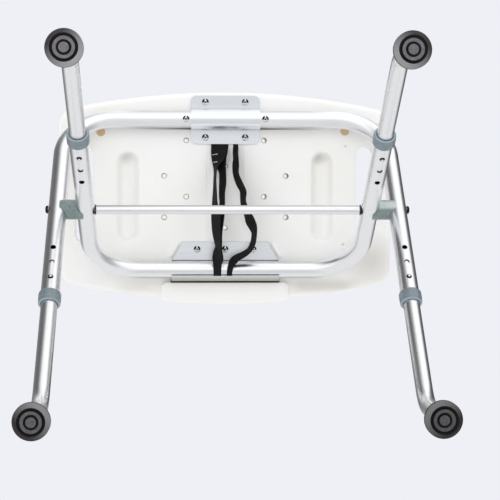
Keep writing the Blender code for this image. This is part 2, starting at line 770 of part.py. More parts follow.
def hinge_bracket(builder):
    """The omega-shaped clamp that the outer cross tube turns in."""
    centre = cross_tube(OUTER)
    radius = TUBE_OD / 2 + GAP + SHEET / 2
    flange = SEAT_UNDERSIDE - GAP - SHEET / 2 - centre.z
    half = HINGE_HALF_LENGTH
    rows = []
    for angle in (0, 30, 60, 90):
        inward = HINGE_CORNER * (1 - math.sin(math.radians(angle)))
        along = HINGE_CORNER * (1 - math.cos(math.radians(angle)))
        rows.append((half - inward, -HINGE_FLANGE + along, flange))
    for angle in (0, 45, 90):
        turn = math.radians(angle)
        y = -radius - HINGE_FILLET + HINGE_FILLET * math.sin(turn)
        rows.append((half, y, flange - HINGE_FILLET + HINGE_FILLET * math.cos(turn)))
    steps = 12
    for i in range(steps // 2 + 1):
        turn = math.pi * i / steps
        rows.append((half, -radius * math.cos(turn), -radius * math.sin(turn)))
    rows += [(w, -y, z) for w, y, z in reversed(rows[:-1])]
    mesh = sheet_mesh(rows, SHEET)
    place = Matrix.Translation(centre)
    bracket = builder.piece("hinge_bracket", mesh, "bracket", "seat_axis", place)
    for spot in hinge_screw_places():
        pin = plain_pin(SCREW_RADIUS + GAP, -2 * SHEET, 3 * SHEET)
        builder.cut(bracket, pin, Matrix.Translation(spot))
    screws(builder, "hinge_bracket_screw", hinge_screw_places(), SCREW_LENGTH, "seat_axis")


def catch_bracket(builder):
    """The plate in the seat whose hook holds the inner cross tube."""
    centre = cross_tube(INNER)
    radius = TUBE_OD / 2 + GAP + SHEET / 2
    shoulder = TUBE_OD / 2
    rows = [(CATCH_TOP_HALF, CATCH_REACH, radius), (CATCH_HALF_LENGTH, shoulder, radius)]
    steps = 10
    for i in range(steps + 1):
        turn = math.radians(90 + (HOOK_END_DEG - 90) * i / steps)
        y = radius * math.cos(turn) - HOOK_SHIFT
        rows.append((CATCH_HALF_LENGTH, y, radius * math.sin(turn)))
    mesh = sheet_mesh(rows, SHEET)
    bracket = builder.piece("catch_bracket", mesh, "bracket", "seat_axis", Matrix.Translation(centre))
    for spot in catch_screw_places():
        pin = plain_pin(SCREW_RADIUS + GAP, -2 * SHEET, 3 * SHEET)
        builder.cut(bracket, pin, Matrix.Translation(spot))
    screws(builder, "catch_bracket_screw", catch_screw_places(), SCREW_LENGTH, "seat_axis")


def stop_screws(builder, tube):
    """Two screws in the outer cross tube that keep the hinge bracket in its place."""
    centre = cross_tube(OUTER)
    x = HINGE_HALF_LENGTH + STOP_SCREW_CLEAR + SCREW_HEAD_RADIUS
    places = []
    for side in (-1, 1):
        spot = centre + Vector((side * x, 0, -TUBE_OD / 2 - GAP))
        places.append(spot)
        builder.cut(tube, plain_pin(SCREW_RADIUS + GAP, -TUBE_OD / 4, TUBE_OD / 4), Matrix.Translation(spot))
    screws(builder, "tube_stop_screw", places, STOP_SCREW_LENGTH, "outer_frame_axis")


# Strap

# Each point gives X, the share of the way from the hinge bracket to the inner cross tube, the height
# below the seat and the turn of the webbing about its own length, in degrees.
STRAP_RUNS = {
    "left": (
        (-0.0135, 0.00, 0.0075, 60),
        (-0.0137, 0.10, 0.0150, 62),
        (-0.0140, 0.22, 0.0240, 64),
        (-0.0200, 0.35, 0.0320, 66),
        (-0.0246, 0.46, 0.0370, 68),
        (-0.0300, 0.56, 0.0390, 68),
        (-0.0370, 0.64, 0.0390, 70),
        (-0.0405, 0.72, 0.0370, 72),
        (-0.0375, 0.82, 0.0335, 72),
        (-0.0290, 0.90, 0.0325, 40),
        (-0.0150, 0.97, 0.0310, 12),
    ),
    "right": (
        (0.0125, 0.00, 0.0075, 12),
        (0.0104, 0.10, 0.0150, 30),
        (0.0108, 0.22, 0.0250, 38),
        (0.0114, 0.36, 0.0350, 44),
        (0.0122, 0.50, 0.0400, 46),
        (0.0130, 0.64, 0.0410, 52),
        (0.0130, 0.76, 0.0380, 64),
        (0.0124, 0.86, 0.0345, 50),
        (0.0120, 0.95, 0.0315, 20),
    ),
}
STRAP_TUCK = 0.012
STRAP_HOOK_X = {"left": -0.0045, "right": 0.0133}
STRAP_HOOK_WIDTH = 0.011


def strap_run(builder, label):
    """One run of the strap, from under the hinge bracket's flange into the catch bracket's hook."""
    start = cross_tube(OUTER).y - HINGE_FLANGE
    end = cross_tube(INNER).y + TUBE_OD / 2
    first_x = STRAP_RUNS[label][0][0]
    inside = SEAT_UNDERSIDE + STRAP_GROOVE_DEPTH / 2
    rows = [
        (Vector((first_x, start + STRAP_TUCK, inside)), 0, STRAP_WIDTH),
        (Vector((first_x, start - GAP, inside)), 0, STRAP_WIDTH),
    ]
    for x, share, drop, turn in STRAP_RUNS[label]:
        place = Vector((x, start + (end - start) * (share * 0.94 + 0.05), SEAT_UNDERSIDE - drop))
        rows.append((place, turn, STRAP_WIDTH))
    radius = TUBE_OD / 2 + GAP + STRAP_THICKNESS / 2
    centre = cross_tube(INNER)
    for angle in range(256, 140, -10):
        turn = math.radians(angle)
        out = Vector((0, math.cos(turn), math.sin(turn))) * radius
        rows.append((Vector((STRAP_HOOK_X[label], centre.y, centre.z)) + out, 0, STRAP_HOOK_WIDTH))
    builder.piece("strap_" + label + "_run", ribbon_mesh(rows), "webbing", "seat_axis")


def ribbon_mesh(rows):
    """A flat band lofted through rows of place, turn and width."""
    whole = bmesh.new()
    loops = []
    for i, (place, turn, width) in enumerate(rows):
        before = rows[max(i - 1, 0)][0]
        after = rows[min(i + 1, len(rows) - 1)][0]
        along = (after - before).normalized()
        across = Vector((1, 0, 0)) - along * along.x
        across.normalize()
        across = Matrix.Rotation(math.radians(turn), 3, along) @ across
        face = along.cross(across)
        a = across * width / 2
        b = face * STRAP_THICKNESS / 2
        loops.append([whole.verts.new(place + s * a + t * b) for s, t in ((1, 1), (-1, 1), (-1, -1), (1, -1))])
    for first, second in zip(loops, loops[1:]):
        for i in range(4):
            j = (i + 1) % 4
            whole.faces.new((first[i], first[j], second[j], second[i]))
    whole.faces.new(reversed(loops[0]))
    whole.faces.new(loops[-1])
    bmesh.ops.recalc_face_normals(whole, faces=whole.faces)
    bmesh.ops.triangulate(whole, faces=whole.faces)
    mesh = bpy.data.meshes.new("ribbon")
    whole.to_mesh(mesh)
    whole.free()
    return mesh


def make_axes(builder):
    """Empties on the joints' axes, which the pieces hang from."""
    builder.axis("outer_frame_axis", PIVOT)
    builder.axis("fold_axis", PIVOT, "outer_frame_axis")
    builder.axis("seat_axis", cross_tube(OUTER), "outer_frame_axis")
    for frame in FRAMES:
        parent = "fold_axis" if frame is INNER else "outer_frame_axis"
        for label, side in SIDES:
            name = f"{frame.name}_{label}"
            builder.axis(name + "_slide", leg_point(frame, side, HOLE_DISTANCE), parent)
            builder.axis(name + "_press", leg_point(frame, side, HOLE_DISTANCE), name + "_slide")


def main():
    for item in list(bpy.data.objects):
        bpy.data.objects.remove(item, do_unlink=True)
    builder = Builder()
    make_axes(builder)
    tubes = {frame.name: frame_tube(builder, frame) for frame in FRAMES}
    stop_screws(builder, tubes["outer"])
    for frame in FRAMES:
        for label, side in SIDES:
            lower_leg(builder, frame, label, side)
            collar(builder, frame, label, side)
            rubber_foot(builder, frame, label, side)
            behind = snap_button(builder, frame, label, side)
            button_spring(builder, frame, label, side, behind)
    pivot_rod(builder)
    for label, side in SIDES:
        pivot_hardware(builder, label, side)
    seat(builder)
    hinge_bracket(builder)
    catch_bracket(builder)
    for label in STRAP_RUNS:
        strap_run(builder, label)


main()
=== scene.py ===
"""The dressed scene of a folding shower stool, seen from straight below as in its photograph.

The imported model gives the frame. Every piece here is made in metres in that frame, with +Z up and
the origin on the floor. The outer frame's cross tube is towards +Y, the inner frame's towards -Y.
"""

import collections
import math

import bmesh
import bpy
from bpy.props import FloatProperty, FloatVectorProperty, PointerProperty
from mathutils import Matrix, Vector


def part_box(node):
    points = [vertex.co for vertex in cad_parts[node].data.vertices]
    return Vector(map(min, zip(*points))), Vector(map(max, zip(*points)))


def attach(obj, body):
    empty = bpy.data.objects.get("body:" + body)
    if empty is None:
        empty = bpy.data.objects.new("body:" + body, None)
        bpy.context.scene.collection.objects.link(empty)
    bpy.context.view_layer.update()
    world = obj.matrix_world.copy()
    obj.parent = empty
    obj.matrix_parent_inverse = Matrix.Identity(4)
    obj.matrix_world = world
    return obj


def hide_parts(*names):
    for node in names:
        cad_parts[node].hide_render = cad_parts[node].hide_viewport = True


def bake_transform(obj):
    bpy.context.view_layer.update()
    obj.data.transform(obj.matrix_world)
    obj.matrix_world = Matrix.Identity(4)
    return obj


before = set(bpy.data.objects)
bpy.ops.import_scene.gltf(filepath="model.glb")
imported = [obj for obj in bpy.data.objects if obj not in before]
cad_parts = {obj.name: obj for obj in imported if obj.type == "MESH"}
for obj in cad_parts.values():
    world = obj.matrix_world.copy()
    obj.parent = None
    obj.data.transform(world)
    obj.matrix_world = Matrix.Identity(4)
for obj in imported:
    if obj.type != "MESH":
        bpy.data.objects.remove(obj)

bl_info = {
    "name": "Folding shower stool",
    "version": (1, 0, 0),
    "blender": (4, 5, 0),
    "location": "3D View > Sidebar > Stool",
    "description": "Builds a folding shower stool piece by piece, with its stage",
    "category": "Object",
}

# Layout, as the part's source has it
PIVOT_HEIGHT = 0.364
TUBE_RISE = 0.121
TUBE_RADIUS = 0.0127
LEG_SPLAY = 0.020
FRAME_BEND_RADIUS = 0.076
FRAME_LEG_LENGTH = 0.1685
LOWER_TOP = 0.093
LOWER_BEND_RADIUS = 0.060
HOLE_DISTANCE = 0.132
HOLE_PITCH = 0.026
HOLE_RADIUS = 0.0038
BOLT_HOLE_RADIUS = 0.0036
BOLT_BORE = 0.0033
WASHER_THICKNESS = 0.0012
BUTTON_FLANGE_RADIUS = 0.0046
BUTTON_FLANGE_THICKNESS = 0.0008
SPRING_THICKNESS = 0.0005
SPRING_HALF_WIDTH = 0.003
COLLAR_DISTANCE = 0.153
COLLAR_LENGTH = 0.018
FOOT_SOLE = 0.009
FOOT_HEIGHT = 0.036
SHEET = 0.002
GAP = 0.0003
HINGE_HALF_WIDTH = 0.0512
CATCH_HALF_WIDTH = 0.080
CATCH_FLANGE_END = 0.041
CATCH_HOOK_SHIFT = 0.002
SCREW_LENGTH = 0.014
STOP_SCREW_LENGTH = 0.008
SEAT_LENGTH = 0.497
SEAT_DEPTH = 0.3115
SEAT_EDGE_ARC = 1.10
SEAT_CORNER_RADIUS = 0.026
SLOT = (0.1445, 0.027, 0.2095)
POCKET = (0.133, 0.031, 0.1445)
DRAINS = ((0.0, 0.046), (0.0, -0.0465), (0.058, 0.084), (0.058, 0.0), (0.091, 0.031), (0.091, -0.031))
VENTS = ((-0.1804, 0.0764), (-0.177, -0.072))

# The thicker middle of the seat's front edge: its half width, its slopes' width, and how far it stands out
BUMP_HALF_WIDTH = 0.102
BUMP_SLOPE = 0.022
BUMP_DEPTH = 0.0048

Frame = collections.namedtuple("Frame", "name half_width offset bend body")
OUTER = Frame("outer", 0.240, 0.133, 0.337, "outer_frame")
INNER = Frame("inner", 0.2005, -0.090, 0.3245, "inner_frame")
FRAMES = (OUTER, INNER)
SIDES = (("left", -1), ("right", 1))


def tilt(which):
    return math.atan2(which.offset, TUBE_RISE)


PIVOT_Y = sum(each.bend * math.sin(tilt(each)) for each in FRAMES) / 2
PIVOT = Vector((0, PIVOT_Y, PIVOT_HEIGHT))
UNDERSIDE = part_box("seat")[0][2]
SEAT_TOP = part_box("seat")[1][2]
SLOT_Y = PIVOT_Y + (OUTER.offset + INNER.offset) / 2
SEAT_Y = SLOT_Y - 0.0030


def cross_tube(which):
    return PIVOT + Vector((0, which.offset, TUBE_RISE))


def leg_point(which, side, distance):
    lean = tilt(which)
    x = side * (which.half_width + LEG_SPLAY * distance)
    return PIVOT + Vector((x, -math.sin(lean) * distance, -math.cos(lean) * distance))


def leg_matrix(which, side, distance):
    """Axes on a leg: Z up the leg, and Y square to it, out of its lower face."""
    lean = tilt(which)
    up = (leg_point(which, side, 0) - leg_point(which, side, 1)).normalized()
    towards = 1 if which.offset > 0 else -1
    out = Vector((0, towards * math.cos(lean), -towards * math.sin(lean)))
    turn = Matrix((out.cross(up), out, up)).transposed()
    return Matrix.Translation(leg_point(which, side, distance)) @ turn.to_4x4()


def hole_matrix(which, side, hole=0):
    """Axes on a leg's hole, Z out of the leg, counted from the hole nearest the collar."""
    place = leg_matrix(which, side, HOLE_DISTANCE - hole * HOLE_PITCH)
    return place @ Matrix.Rotation(-math.pi / 2, 4, "X")


def pointing(place, direction):
    turn = Vector(direction).to_track_quat("Z", "Y")
    return Matrix.Translation(place) @ turn.to_matrix().to_4x4()


def arc(start, end, steps):
    """Evenly spaced angles in radians, between two that are given in degrees."""
    return [math.radians(start + (end - start) * i / steps) for i in range(steps + 1)]


# Sizes and colours


def length_property(name, description, default):
    return FloatProperty(name=name, description=description, default=default, unit="LENGTH")


def colour_property(name, description, default):
    return FloatVectorProperty(
        name=name, description=description, default=default, subtype="COLOR", size=3, min=0, max=1)


class StoolSizes(bpy.types.PropertyGroup):
    tube: length_property("Frame tube", "Outer diameter of the frame tubes", 2 * TUBE_RADIUS)
    lower_tube: length_property("Lower tube", "Outer diameter of the lower legs", 0.0222)
    tube_wall: length_property("Tube wall", "Thickness of the tubes' walls", 0.0012)
    foot: length_property("Foot", "Diameter of the rubber feet", 0.0462)
    rod: length_property("Rod", "Diameter of the rod at the pivot", 0.0127)
    strap: length_property("Strap", "Width of the webbing", 0.025)
    seat_edge: length_property("Seat edge", "Radius of the seat's rounded edge", 0.008)


class StoolColours(bpy.types.PropertyGroup):
    seat: colour_property("Seat", "Moulded plastic of the seat", (0.935, 0.935, 0.93))
    tube: colour_property("Tube", "Anodised aluminium of the tubes", (0.86, 0.865, 0.88))
    bracket: colour_property("Bracket", "Brushed sheet of the brackets", (0.745, 0.77, 0.805))
    collar: colour_property("Collar", "Plastic of the collars", (0.20, 0.25, 0.285))
    saddle: colour_property("Saddle", "Plastic of the saddle washers", (0.19, 0.245, 0.245))
    rubber: colour_property("Rubber", "Rubber of the feet", (0.045, 0.040, 0.042))
    worn: colour_property("Worn rubber", "Scuffed faces of the soles", (0.165, 0.158, 0.175))
    steel: colour_property("Steel", "Chromed screws, bolts and buttons", (0.88, 0.88, 0.89))
    webbing: colour_property("Webbing", "Webbing of the strap", (0.007, 0.007, 0.008))
    backdrop: colour_property("Backdrop", "Floor and background", (0.855, 0.871, 0.913))


def sizes():
    return bpy.context.scene.stool_sizes


def colours():
    return bpy.context.scene.stool_colours


# Finishes


def shade(colour, amount):
    return tuple(min(1.0, part * amount) for part in colour)


def add_node(tree, kind, inputs=(), **settings):
    """Adds a shader node. Each of the given inputs gets a link or a plain value."""
    made = tree.nodes.new("ShaderNode" + kind)
    for key, value in settings.items():
        setattr(made, key, value)
    for key, value in dict(inputs).items():
        if isinstance(value, bpy.types.NodeSocket):
            tree.links.new(value, made.inputs[key])
        else:
            made.inputs[key].default_value = value
    return made


class Finish:
    """A material's node tree, with short calls for the nodes that the finishes share."""

    def __init__(self, colour, roughness, metallic=0.0):
        self.material = bpy.data.materials.new("finish")
        self.material.use_nodes = True
        self.tree = self.material.node_tree
        self.shader = self.tree.nodes["Principled BSDF"]
        self.shader.inputs["Base Color"].default_value = (*colour, 1)
        self.shader.inputs["Roughness"].default_value = roughness
        self.shader.inputs["Metallic"].default_value = metallic
        self.base = None
        self.bumps = None

    def node(self, kind, inputs=(), **settings):
        return add_node(self.tree, kind, inputs, **settings)

    def place(self, scale=(1, 1, 1), attribute=None):
        """Object coordinates, or an attribute's, stretched by a scale."""
        if attribute:
            source = self.node("Attribute", attribute_name=attribute).outputs["Vector"]
        else:
            source = self.node("TexCoord").outputs["Object"]
        return self.node("Mapping", {"Vector": source, "Scale": scale}).outputs["Vector"]

    def axes(self, where):
        """The outputs X, Y and Z of a place."""
        return self.node("SeparateXYZ", {0: where}).outputs

    def noise(self, where, scale, detail=3.0, roughness=0.5):
        values = {"Vector": where, "Scale": scale, "Detail": detail, "Roughness": roughness}
        return self.node("TexNoise", values).outputs["Fac"]

    def spread(self, value, low, high, to_low=0, to_high=1):
        """Maps one range on to another and stays inside it."""
        values = {"Value": value, "From Min": low, "From Max": high, "To Min": to_low, "To Max": to_high}
        return self.node("MapRange", values).outputs["Result"]

    def times(self, first, *others):
        """The product of some values."""
        for other in others:
            first = self.node("Math", {0: first, 1: other}, operation="MULTIPLY").outputs[0]
        return first

    def reach(self, value):
        """How far a value is from zero."""
        return self.node("Math", {0: value}, operation="ABSOLUTE").outputs[0]

    def band(self, value, low, high, soft=0.0001):
        """1 where a value lies between two limits, 0 elsewhere."""
        rise = self.spread(value, low - soft, low + soft)
        return self.times(rise, self.spread(value, high - soft, high + soft, 1, 0))

    def distance(self, where, point):
        return self.node("VectorMath", {0: where, 1: point}, operation="DISTANCE").outputs["Value"]

    def dot(self, first, second):
        return self.node("VectorMath", {0: first, 1: second}, operation="DOT_PRODUCT").outputs["Value"]

    def from_axis(self):
        """A turned shape's own place without its height, and its distance from the axis."""
        values = {0: self.place(attribute="grain"), 1: (1, 1, 0)}
        flat = self.node("VectorMath", values, operation="MULTIPLY").outputs["Vector"]
        return flat, self.node("VectorMath", {0: flat}, operation="LENGTH").outputs["Value"]

    def mix(self, factor, under, top):
        """Mixes two colours, each plain or from a node."""
        values = {"Factor": factor}
        for key, colour in (("A", under), ("B", top)):
            values[key] = colour if isinstance(colour, bpy.types.NodeSocket) else (*colour, 1)
        return self.node("Mix", values, data_type="RGBA").outputs["Result"]

    def paint(self, factor, under, top):
        """Makes a mix of two colours the base colour."""
        self.base = self.mix(factor, under, top)
        self.tree.links.new(self.base, self.shader.inputs["Base Color"])

    def over(self, factor, top):
        """Lays a plain colour over the base colour that the shader has so far."""
        self.paint(factor, self.base, top)

    def tint(self, noise, colour, dark, light):
        """Runs the base colour between two shades of a colour, with a noise."""
        self.paint(self.spread(noise, 0.3, 0.7), shade(colour, dark), shade(colour, light))

    def bands(self, value, centre, colour, rows, *masks):
        """Lays bands over the base colour, each with its two sides, their softness and its tone."""
        for low, high, soft, tone in rows:
            band = self.band(value, centre + low, centre + high, soft)
            self.over(self.times(band, *masks), shade(colour, tone))

    def rough(self, value, low, high):
        self.tree.links.new(self.spread(value, 0.3, 0.7, low, high), self.shader.inputs["Roughness"])

    def bump(self, value, strength, distance):
        values = {"Height": value, "Strength": strength, "Distance": distance}
        if self.bumps:
            values["Normal"] = self.bumps
        self.bumps = self.node("Bump", values).outputs["Normal"]
        self.tree.links.new(self.bumps, self.shader.inputs["Normal"])


def moulded_seat():
    """White plastic with a faint warm cloud. Below: painted shade in the gap behind the catch's lip, a
    painted shadow beside the outer cross tube, painted shade on the front rim and at one corner, and brown
    towards one end of each pocket.
    """
    white = colours().seat
    finish = Finish(white, 0.42)
    where = finish.place()
    warm = (white[0] * 0.98, white[1] * 0.975, white[2] * 0.955)
    finish.paint(finish.spread(finish.noise(where, 9, 4), 0.38, 0.62), warm, white)
    part = finish.axes(where)
    tube = cross_tube(INNER).y
    # Painted shade: a dark brown band in the gap between the catch's lip and the front boss
    crevice_shade = finish.times(finish.band(part["Y"], tube - 0.0200, tube - 0.0150, 0.0003),
                           finish.band(part["X"], -0.0815, 0.0815, 0.0010),
                           finish.spread(part["Z"], SEAT_TOP - 0.004, SEAT_TOP - 0.006))
    finish.over(crevice_shade, (0.10, 0.08, 0.05))
    under = finish.spread(part["Z"], UNDERSIDE + 0.0020, UNDERSIDE + 0.0080, 1, 0)
    tube = cross_tube(OUTER).y
    # Painted shadow: a dark stripe on the underside beside the outer cross tube, strongest next to the hinge
    # bracket
    hinge_shadow = finish.times(finish.band(part["Y"], tube - 0.0146, tube - 0.0090, 0.0006),
                        finish.spread(finish.reach(part["X"]), 0.0500, 0.1500, 0.95, 0), under)
    finish.over(hinge_shadow, (0.10, 0.07, 0.05))
    # Painted shade along the underside's front rim, on either side of the catch
    for low, high, strength in ((-0.1950, -0.1000, 0.80), (0.1050, 0.1550, 0.35)):
        rim = finish.times(finish.band(part["Y"], -0.0960, -0.0790, 0.0060),
                           finish.band(part["X"], low, high, 0.0150), under)
        finish.over(finish.spread(rim, 0, 1, 0, strength), (0.66, 0.64, 0.59))
    # Painted shade: a soft grey patch at one front corner of the underside
    corner = finish.distance(where, (-0.2190, -0.0480, UNDERSIDE))
    finish.over(finish.times(finish.spread(corner, 0.0080, 0.0480, 0.85, 0), under), (0.66, 0.64, 0.60))
    # Brown towards one end of each long pocket
    for x, y, strength in ((0.1500, 0.0600, 0.34), (-0.1405, 0.0600, 0.42)):
        pocket_end = finish.distance(where, (x, SEAT_Y + y, UNDERSIDE + 0.016))
        finish.over(finish.spread(pocket_end, 0.0020, 0.0150, strength, 0), (0.42, 0.37, 0.24))
    finish.rough(finish.noise(where, 60, 3), 0.36, 0.50)
    finish.bump(finish.noise(where, 900, 2), 0.25, 0.0002)
    finish.bump(finish.noise(where, 30, 3), 0.20, 0.0012)
    finish.shader.inputs["Subsurface Weight"].default_value = 0.08
    finish.shader.inputs["Subsurface Radius"].default_value = (0.006, 0.005, 0.004)
    return finish.material


# Painted shade stripes along the tubes and the rod, and painted highlight and shade bands across the hinge
# bracket: two sides in Y from the middle, softness and tone
OUTER_TUBE_SHADE_LINES = ((0.0096, 0.0140, 0.0008, 0.78), (-0.0140, -0.0108, 0.0006, 0.66))
INNER_TUBE_SHADE_LINES = (
    (0.0100, 0.0140, 0.0008, 0.80), (-0.0050, -0.0004, 0.0016, 0.84), (-0.0140, -0.0102, 0.0006, 0.66))
ROD_SHADE_LINES = (
    (0.0042, 0.0090, 0.0005, 0.60), (-0.0030, -0.0006, 0.0008, 0.82), (-0.0090, -0.0052, 0.0005, 0.82))
HINGE_HIGHLIGHT_AND_SHADE_BANDS = (
    (0.0006, 0.0146, 0.0012, 1.14), (-0.0136, -0.0070, 0.0012, 1.27), (0.0156, 0.0184, 0.0005, 0.80),
    (0.0184, 0.0500, 0.0005, 0.90))


def drawn_tube(lift=1.0):
    """Anodised tube with the fine lengthwise lines that drawing leaves, and painted shade stripes along the
    sides of the cross tubes and the rod.
    """
    colour = shade(colours().tube, lift)
    finish = Finish(colour, 0.30, 1.0)
    lines = finish.noise(finish.place((900, 900, 14), "grain"), 1, 4, 0.6)
    finish.tint(lines, colour, 0.985, 1.015)
    part = finish.axes(finish.place())
    reach = finish.reach(part["X"])
    # Painted shade: darker stripes along the cross tubes' sides and along the rod
    straight = finish.times(finish.band(part["Z"], 0.4690, 0.4890, 0.0030),
                            finish.spread(reach, 0.1250, 0.1550, 1, 0))
    finish.bands(part["Y"], cross_tube(OUTER).y, colour, OUTER_TUBE_SHADE_LINES, straight)
    finish.bands(part["Y"], cross_tube(INNER).y, colour, INNER_TUBE_SHADE_LINES, straight)
    rod = finish.times(finish.spread(reach, 0.1860, 0.1875, 1, 0),
                       finish.band(part["Z"], PIVOT_HEIGHT - 0.0080, PIVOT_HEIGHT + 0.0030, 0.0010))
    finish.bands(part["Y"], PIVOT_Y, colour, ROD_SHADE_LINES, rod)
    finish.rough(lines, 0.26, 0.31)
    finish.bump(lines, 0.006, 0.00006)
    return finish.material


def brushed_sheet():
    """Brushed sheet, with a darker, warmer painted reflection on the catch's lip, a painted shade stripe
    along its fold, and painted highlight and shade bands across the hinge bracket.
    """
    sheet = colours().bracket
    finish = Finish(sheet, 0.34, 0.9)
    lines = finish.noise(finish.place((25, 1400, 1400)), 1, 4, 0.6)
    finish.tint(lines, sheet, 0.95, 1.05)
    part = finish.axes(finish.place())
    tube = cross_tube(INNER).y
    # Painted reflection: the catch's lip darker and warmer
    finish.over(finish.spread(part["Y"], tube - 0.0080, tube - 0.0172), (0.36, 0.35, 0.27))
    # Painted shade: a dark stripe along the catch's fold above the tube
    finish.over(finish.band(part["Y"], tube + 0.0118, tube + 0.0140, 0.0003), (0.20, 0.20, 0.21))
    # Painted highlights on the hinge bracket's bulge, and painted shade along its fold and flange towards +Y
    finish.bands(part["Y"], cross_tube(OUTER).y, sheet, HINGE_HIGHLIGHT_AND_SHADE_BANDS)
    finish.rough(lines, 0.26, 0.38)
    finish.bump(lines, 0.08, 0.0001)
    return finish.material


def mottled_plastic(colour, roughness, shades, rough, grain=0.20):
    """Coloured plastic with a slight mottle and a fine grain."""
    finish = Finish(colour, roughness)
    where = finish.place()
    finish.tint(finish.noise(where, 140, 5, 0.6), colour, *shades)
    finish.rough(finish.noise(where, 300, 3), *rough)
    finish.bump(finish.noise(where, 1800, 2), grain, 0.0001)
    return finish


def moulded_trim(colour, roughness, mottle):
    shades = (1 - mottle, 1 + mottle)
    return mottled_plastic(colour, roughness, shades, (roughness - 0.08, roughness + 0.08)).material


def saddle_plastic():
    """Green grey plastic, with a painted highlight on the upper half of the saddles at the right of the view.
    """
    finish = mottled_plastic(colours().saddle, 0.28, (0.82, 1.18), (0.20, 0.36))
    part = finish.axes(finish.place())
    # Painted highlight on the upper half of the saddles at -X
    pale = finish.times(finish.spread(part["X"], -0.10, -0.15, 0, 0.9),
                        finish.band(part["Y"], PIVOT_Y + 0.0020, PIVOT_Y + 0.0120, 0.0022))
    finish.over(pale, (0.60, 0.65, 0.65))
    return finish.material


def collar_plastic():
    """Blue grey plastic, with a painted highlight on the rim around a collar's mouth."""
    finish = mottled_plastic(colours().collar, 0.24, (0.78, 0.94), (0.20, 0.32), 0.15)
    local = finish.axes(finish.place(attribute="grain"))
    # Painted highlight on the rim around the mouth
    finish.over(finish.spread(local["Z"], 0.0016, 0.0007), shade(colours().collar, 1.45))
    finish.shader.inputs["Specular IOR Level"].default_value = 0.9
    return finish.material


def foot_rubber():
    """Rubber scuffed to grey on its sole, with painted light on the rim's inner side, painted shade in its
    grooves, and painted light that makes the feet lighter towards +Y.
    """
    rubber = colours().rubber
    worn = colours().worn
    finish = Finish(rubber, 0.60)
    where = finish.place()
    flat, radius = finish.from_axis()
    grit = finish.noise(where, 260, 5, 0.65)
    # Painted light: the rim lighter on its side towards the stool's middle
    inner_side = finish.spread(finish.dot(flat, where), 0.0050, -0.0055)
    rim = finish.mix(inner_side, shade(rubber, 0.9), (0.33, 0.325, 0.335))
    sole = finish.mix(finish.spread(grit, 0.3, 0.7, 0.1, 1), shade(worn, 0.55), shade(worn, 1.25))
    colour = finish.mix(finish.spread(radius, 0.0168, 0.0172), sole, rim)
    # The grooves keep the unworn rubber's black, darkened further as painted shade
    for low, high in ((0.0063, 0.0091), (0.0133, 0.0170)):
        colour = finish.mix(finish.band(radius, low, high), colour, (0.008, 0.008, 0.009))
    # Painted light: the feet lighter towards +Y and darker towards -Y
    painted_light_scale = finish.spread(finish.dot(where, (0.38, 0.96, 0)), -0.36, 0.34, 0.42, 1.08)
    colour = finish.node("VectorMath", {0: colour, "Scale": painted_light_scale}, operation="SCALE").outputs["Vector"]
    height = finish.axes(finish.place(attribute="grain"))["Z"]
    finish.paint(finish.spread(height, 0.0056, 0.0085), colour, rubber)
    finish.rough(grit, 0.50, 0.70)
    finish.shader.inputs["Specular IOR Level"].default_value = 0.2
    finish.bump(finish.noise(where, 1500, 3), 0.35, 0.0002)
    return finish.material


def chromed_steel(bright, dark, crescents=False):
    """Chrome with a painted reflection: bright in the middle of a head and dark where it falls to its rim, or
    only in two crescents there, with one side dimmer.
    """
    steel = colours().steel
    finish = Finish(steel, 0.16, 1.0)
    spots = finish.noise(finish.place(), 500, 4)
    finish.tint(spots, steel, 0.94, 1.08)
    flat, radius = finish.from_axis()
    # Painted reflection: dark towards the rim of a head
    rim = finish.spread(radius, bright, dark)
    if crescents:
        local = finish.axes(flat)
        rim = finish.times(rim, finish.spread(local["Y"], -0.0016, -0.0002),
                           finish.spread(finish.reach(local["X"]), 0.0005, 0.0011))
        # Painted reflection: a screw's head dimmer at one side
        finish.over(finish.spread(local["Y"], -0.0022, -0.0036, 0, 0.8), shade(steel, 0.62))
    finish.over(rim, shade(steel, 0.02))
    finish.rough(spots, 0.10, 0.24)
    return finish.material


def black_webbing():
    """Woven ribs across the strap and a herringbone lie along it, from the strap's own map."""
    webbing = colours().webbing
    finish = Finish(webbing, 0.85)
    where = finish.node("UVMap").outputs["UV"]
    values = {"Vector": where, "Scale": 180, "Distortion": 0.6}
    ribs = finish.node("TexWave", values, bands_direction="Y").outputs["Fac"]
    twill = finish.node("TexWave", {"Vector": where, "Scale": 260}, bands_direction="DIAGONAL").outputs["Fac"]
    weave = finish.times(ribs, twill)
    finish.paint(weave, shade(webbing, 0.6), shade(webbing, 2.2))
    finish.bump(ribs, 0.5, 0.0003)
    finish.bump(weave, 0.4, 0.0002)
    finish.shader.inputs["Specular IOR Level"].default_value = 0.25
    return finish.material


FINISHES = {
    "seat": moulded_seat,
    "outer tube": drawn_tube,
    "inner tube": lambda: drawn_tube(1.04),
    "bracket": brushed_sheet,
    "collar": collar_plastic,
    "saddle": saddle_plastic,
    "black": lambda: moulded_trim((0.02, 0.02, 0.02), 0.45, 0.2),
    # Painted shade: the drain holes' walls beige grey, darker than the seat
    "hole_rim": lambda: moulded_trim((0.66, 0.61, 0.52), 0.5, 0.1),
    # Painted shade: near black inside the tubes' holes and the screws' and bolts' cross recesses
    "recess": lambda: moulded_trim((0.012, 0.012, 0.013), 0.5, 0.2),
    "tan": lambda: moulded_trim((0.64, 0.47, 0.28), 0.6, 0.1),
    "thread": lambda: moulded_trim((0.75, 0.75, 0.74), 0.8, 0.1),
    "rubber": foot_rubber,
    "steel": lambda: chromed_steel(0.0023, 0.0036),
    "screw": lambda: chromed_steel(0.0013, 0.0020, True),
    "button": lambda: chromed_steel(0.0010, 0.0024),
    "webbing": black_webbing,
}


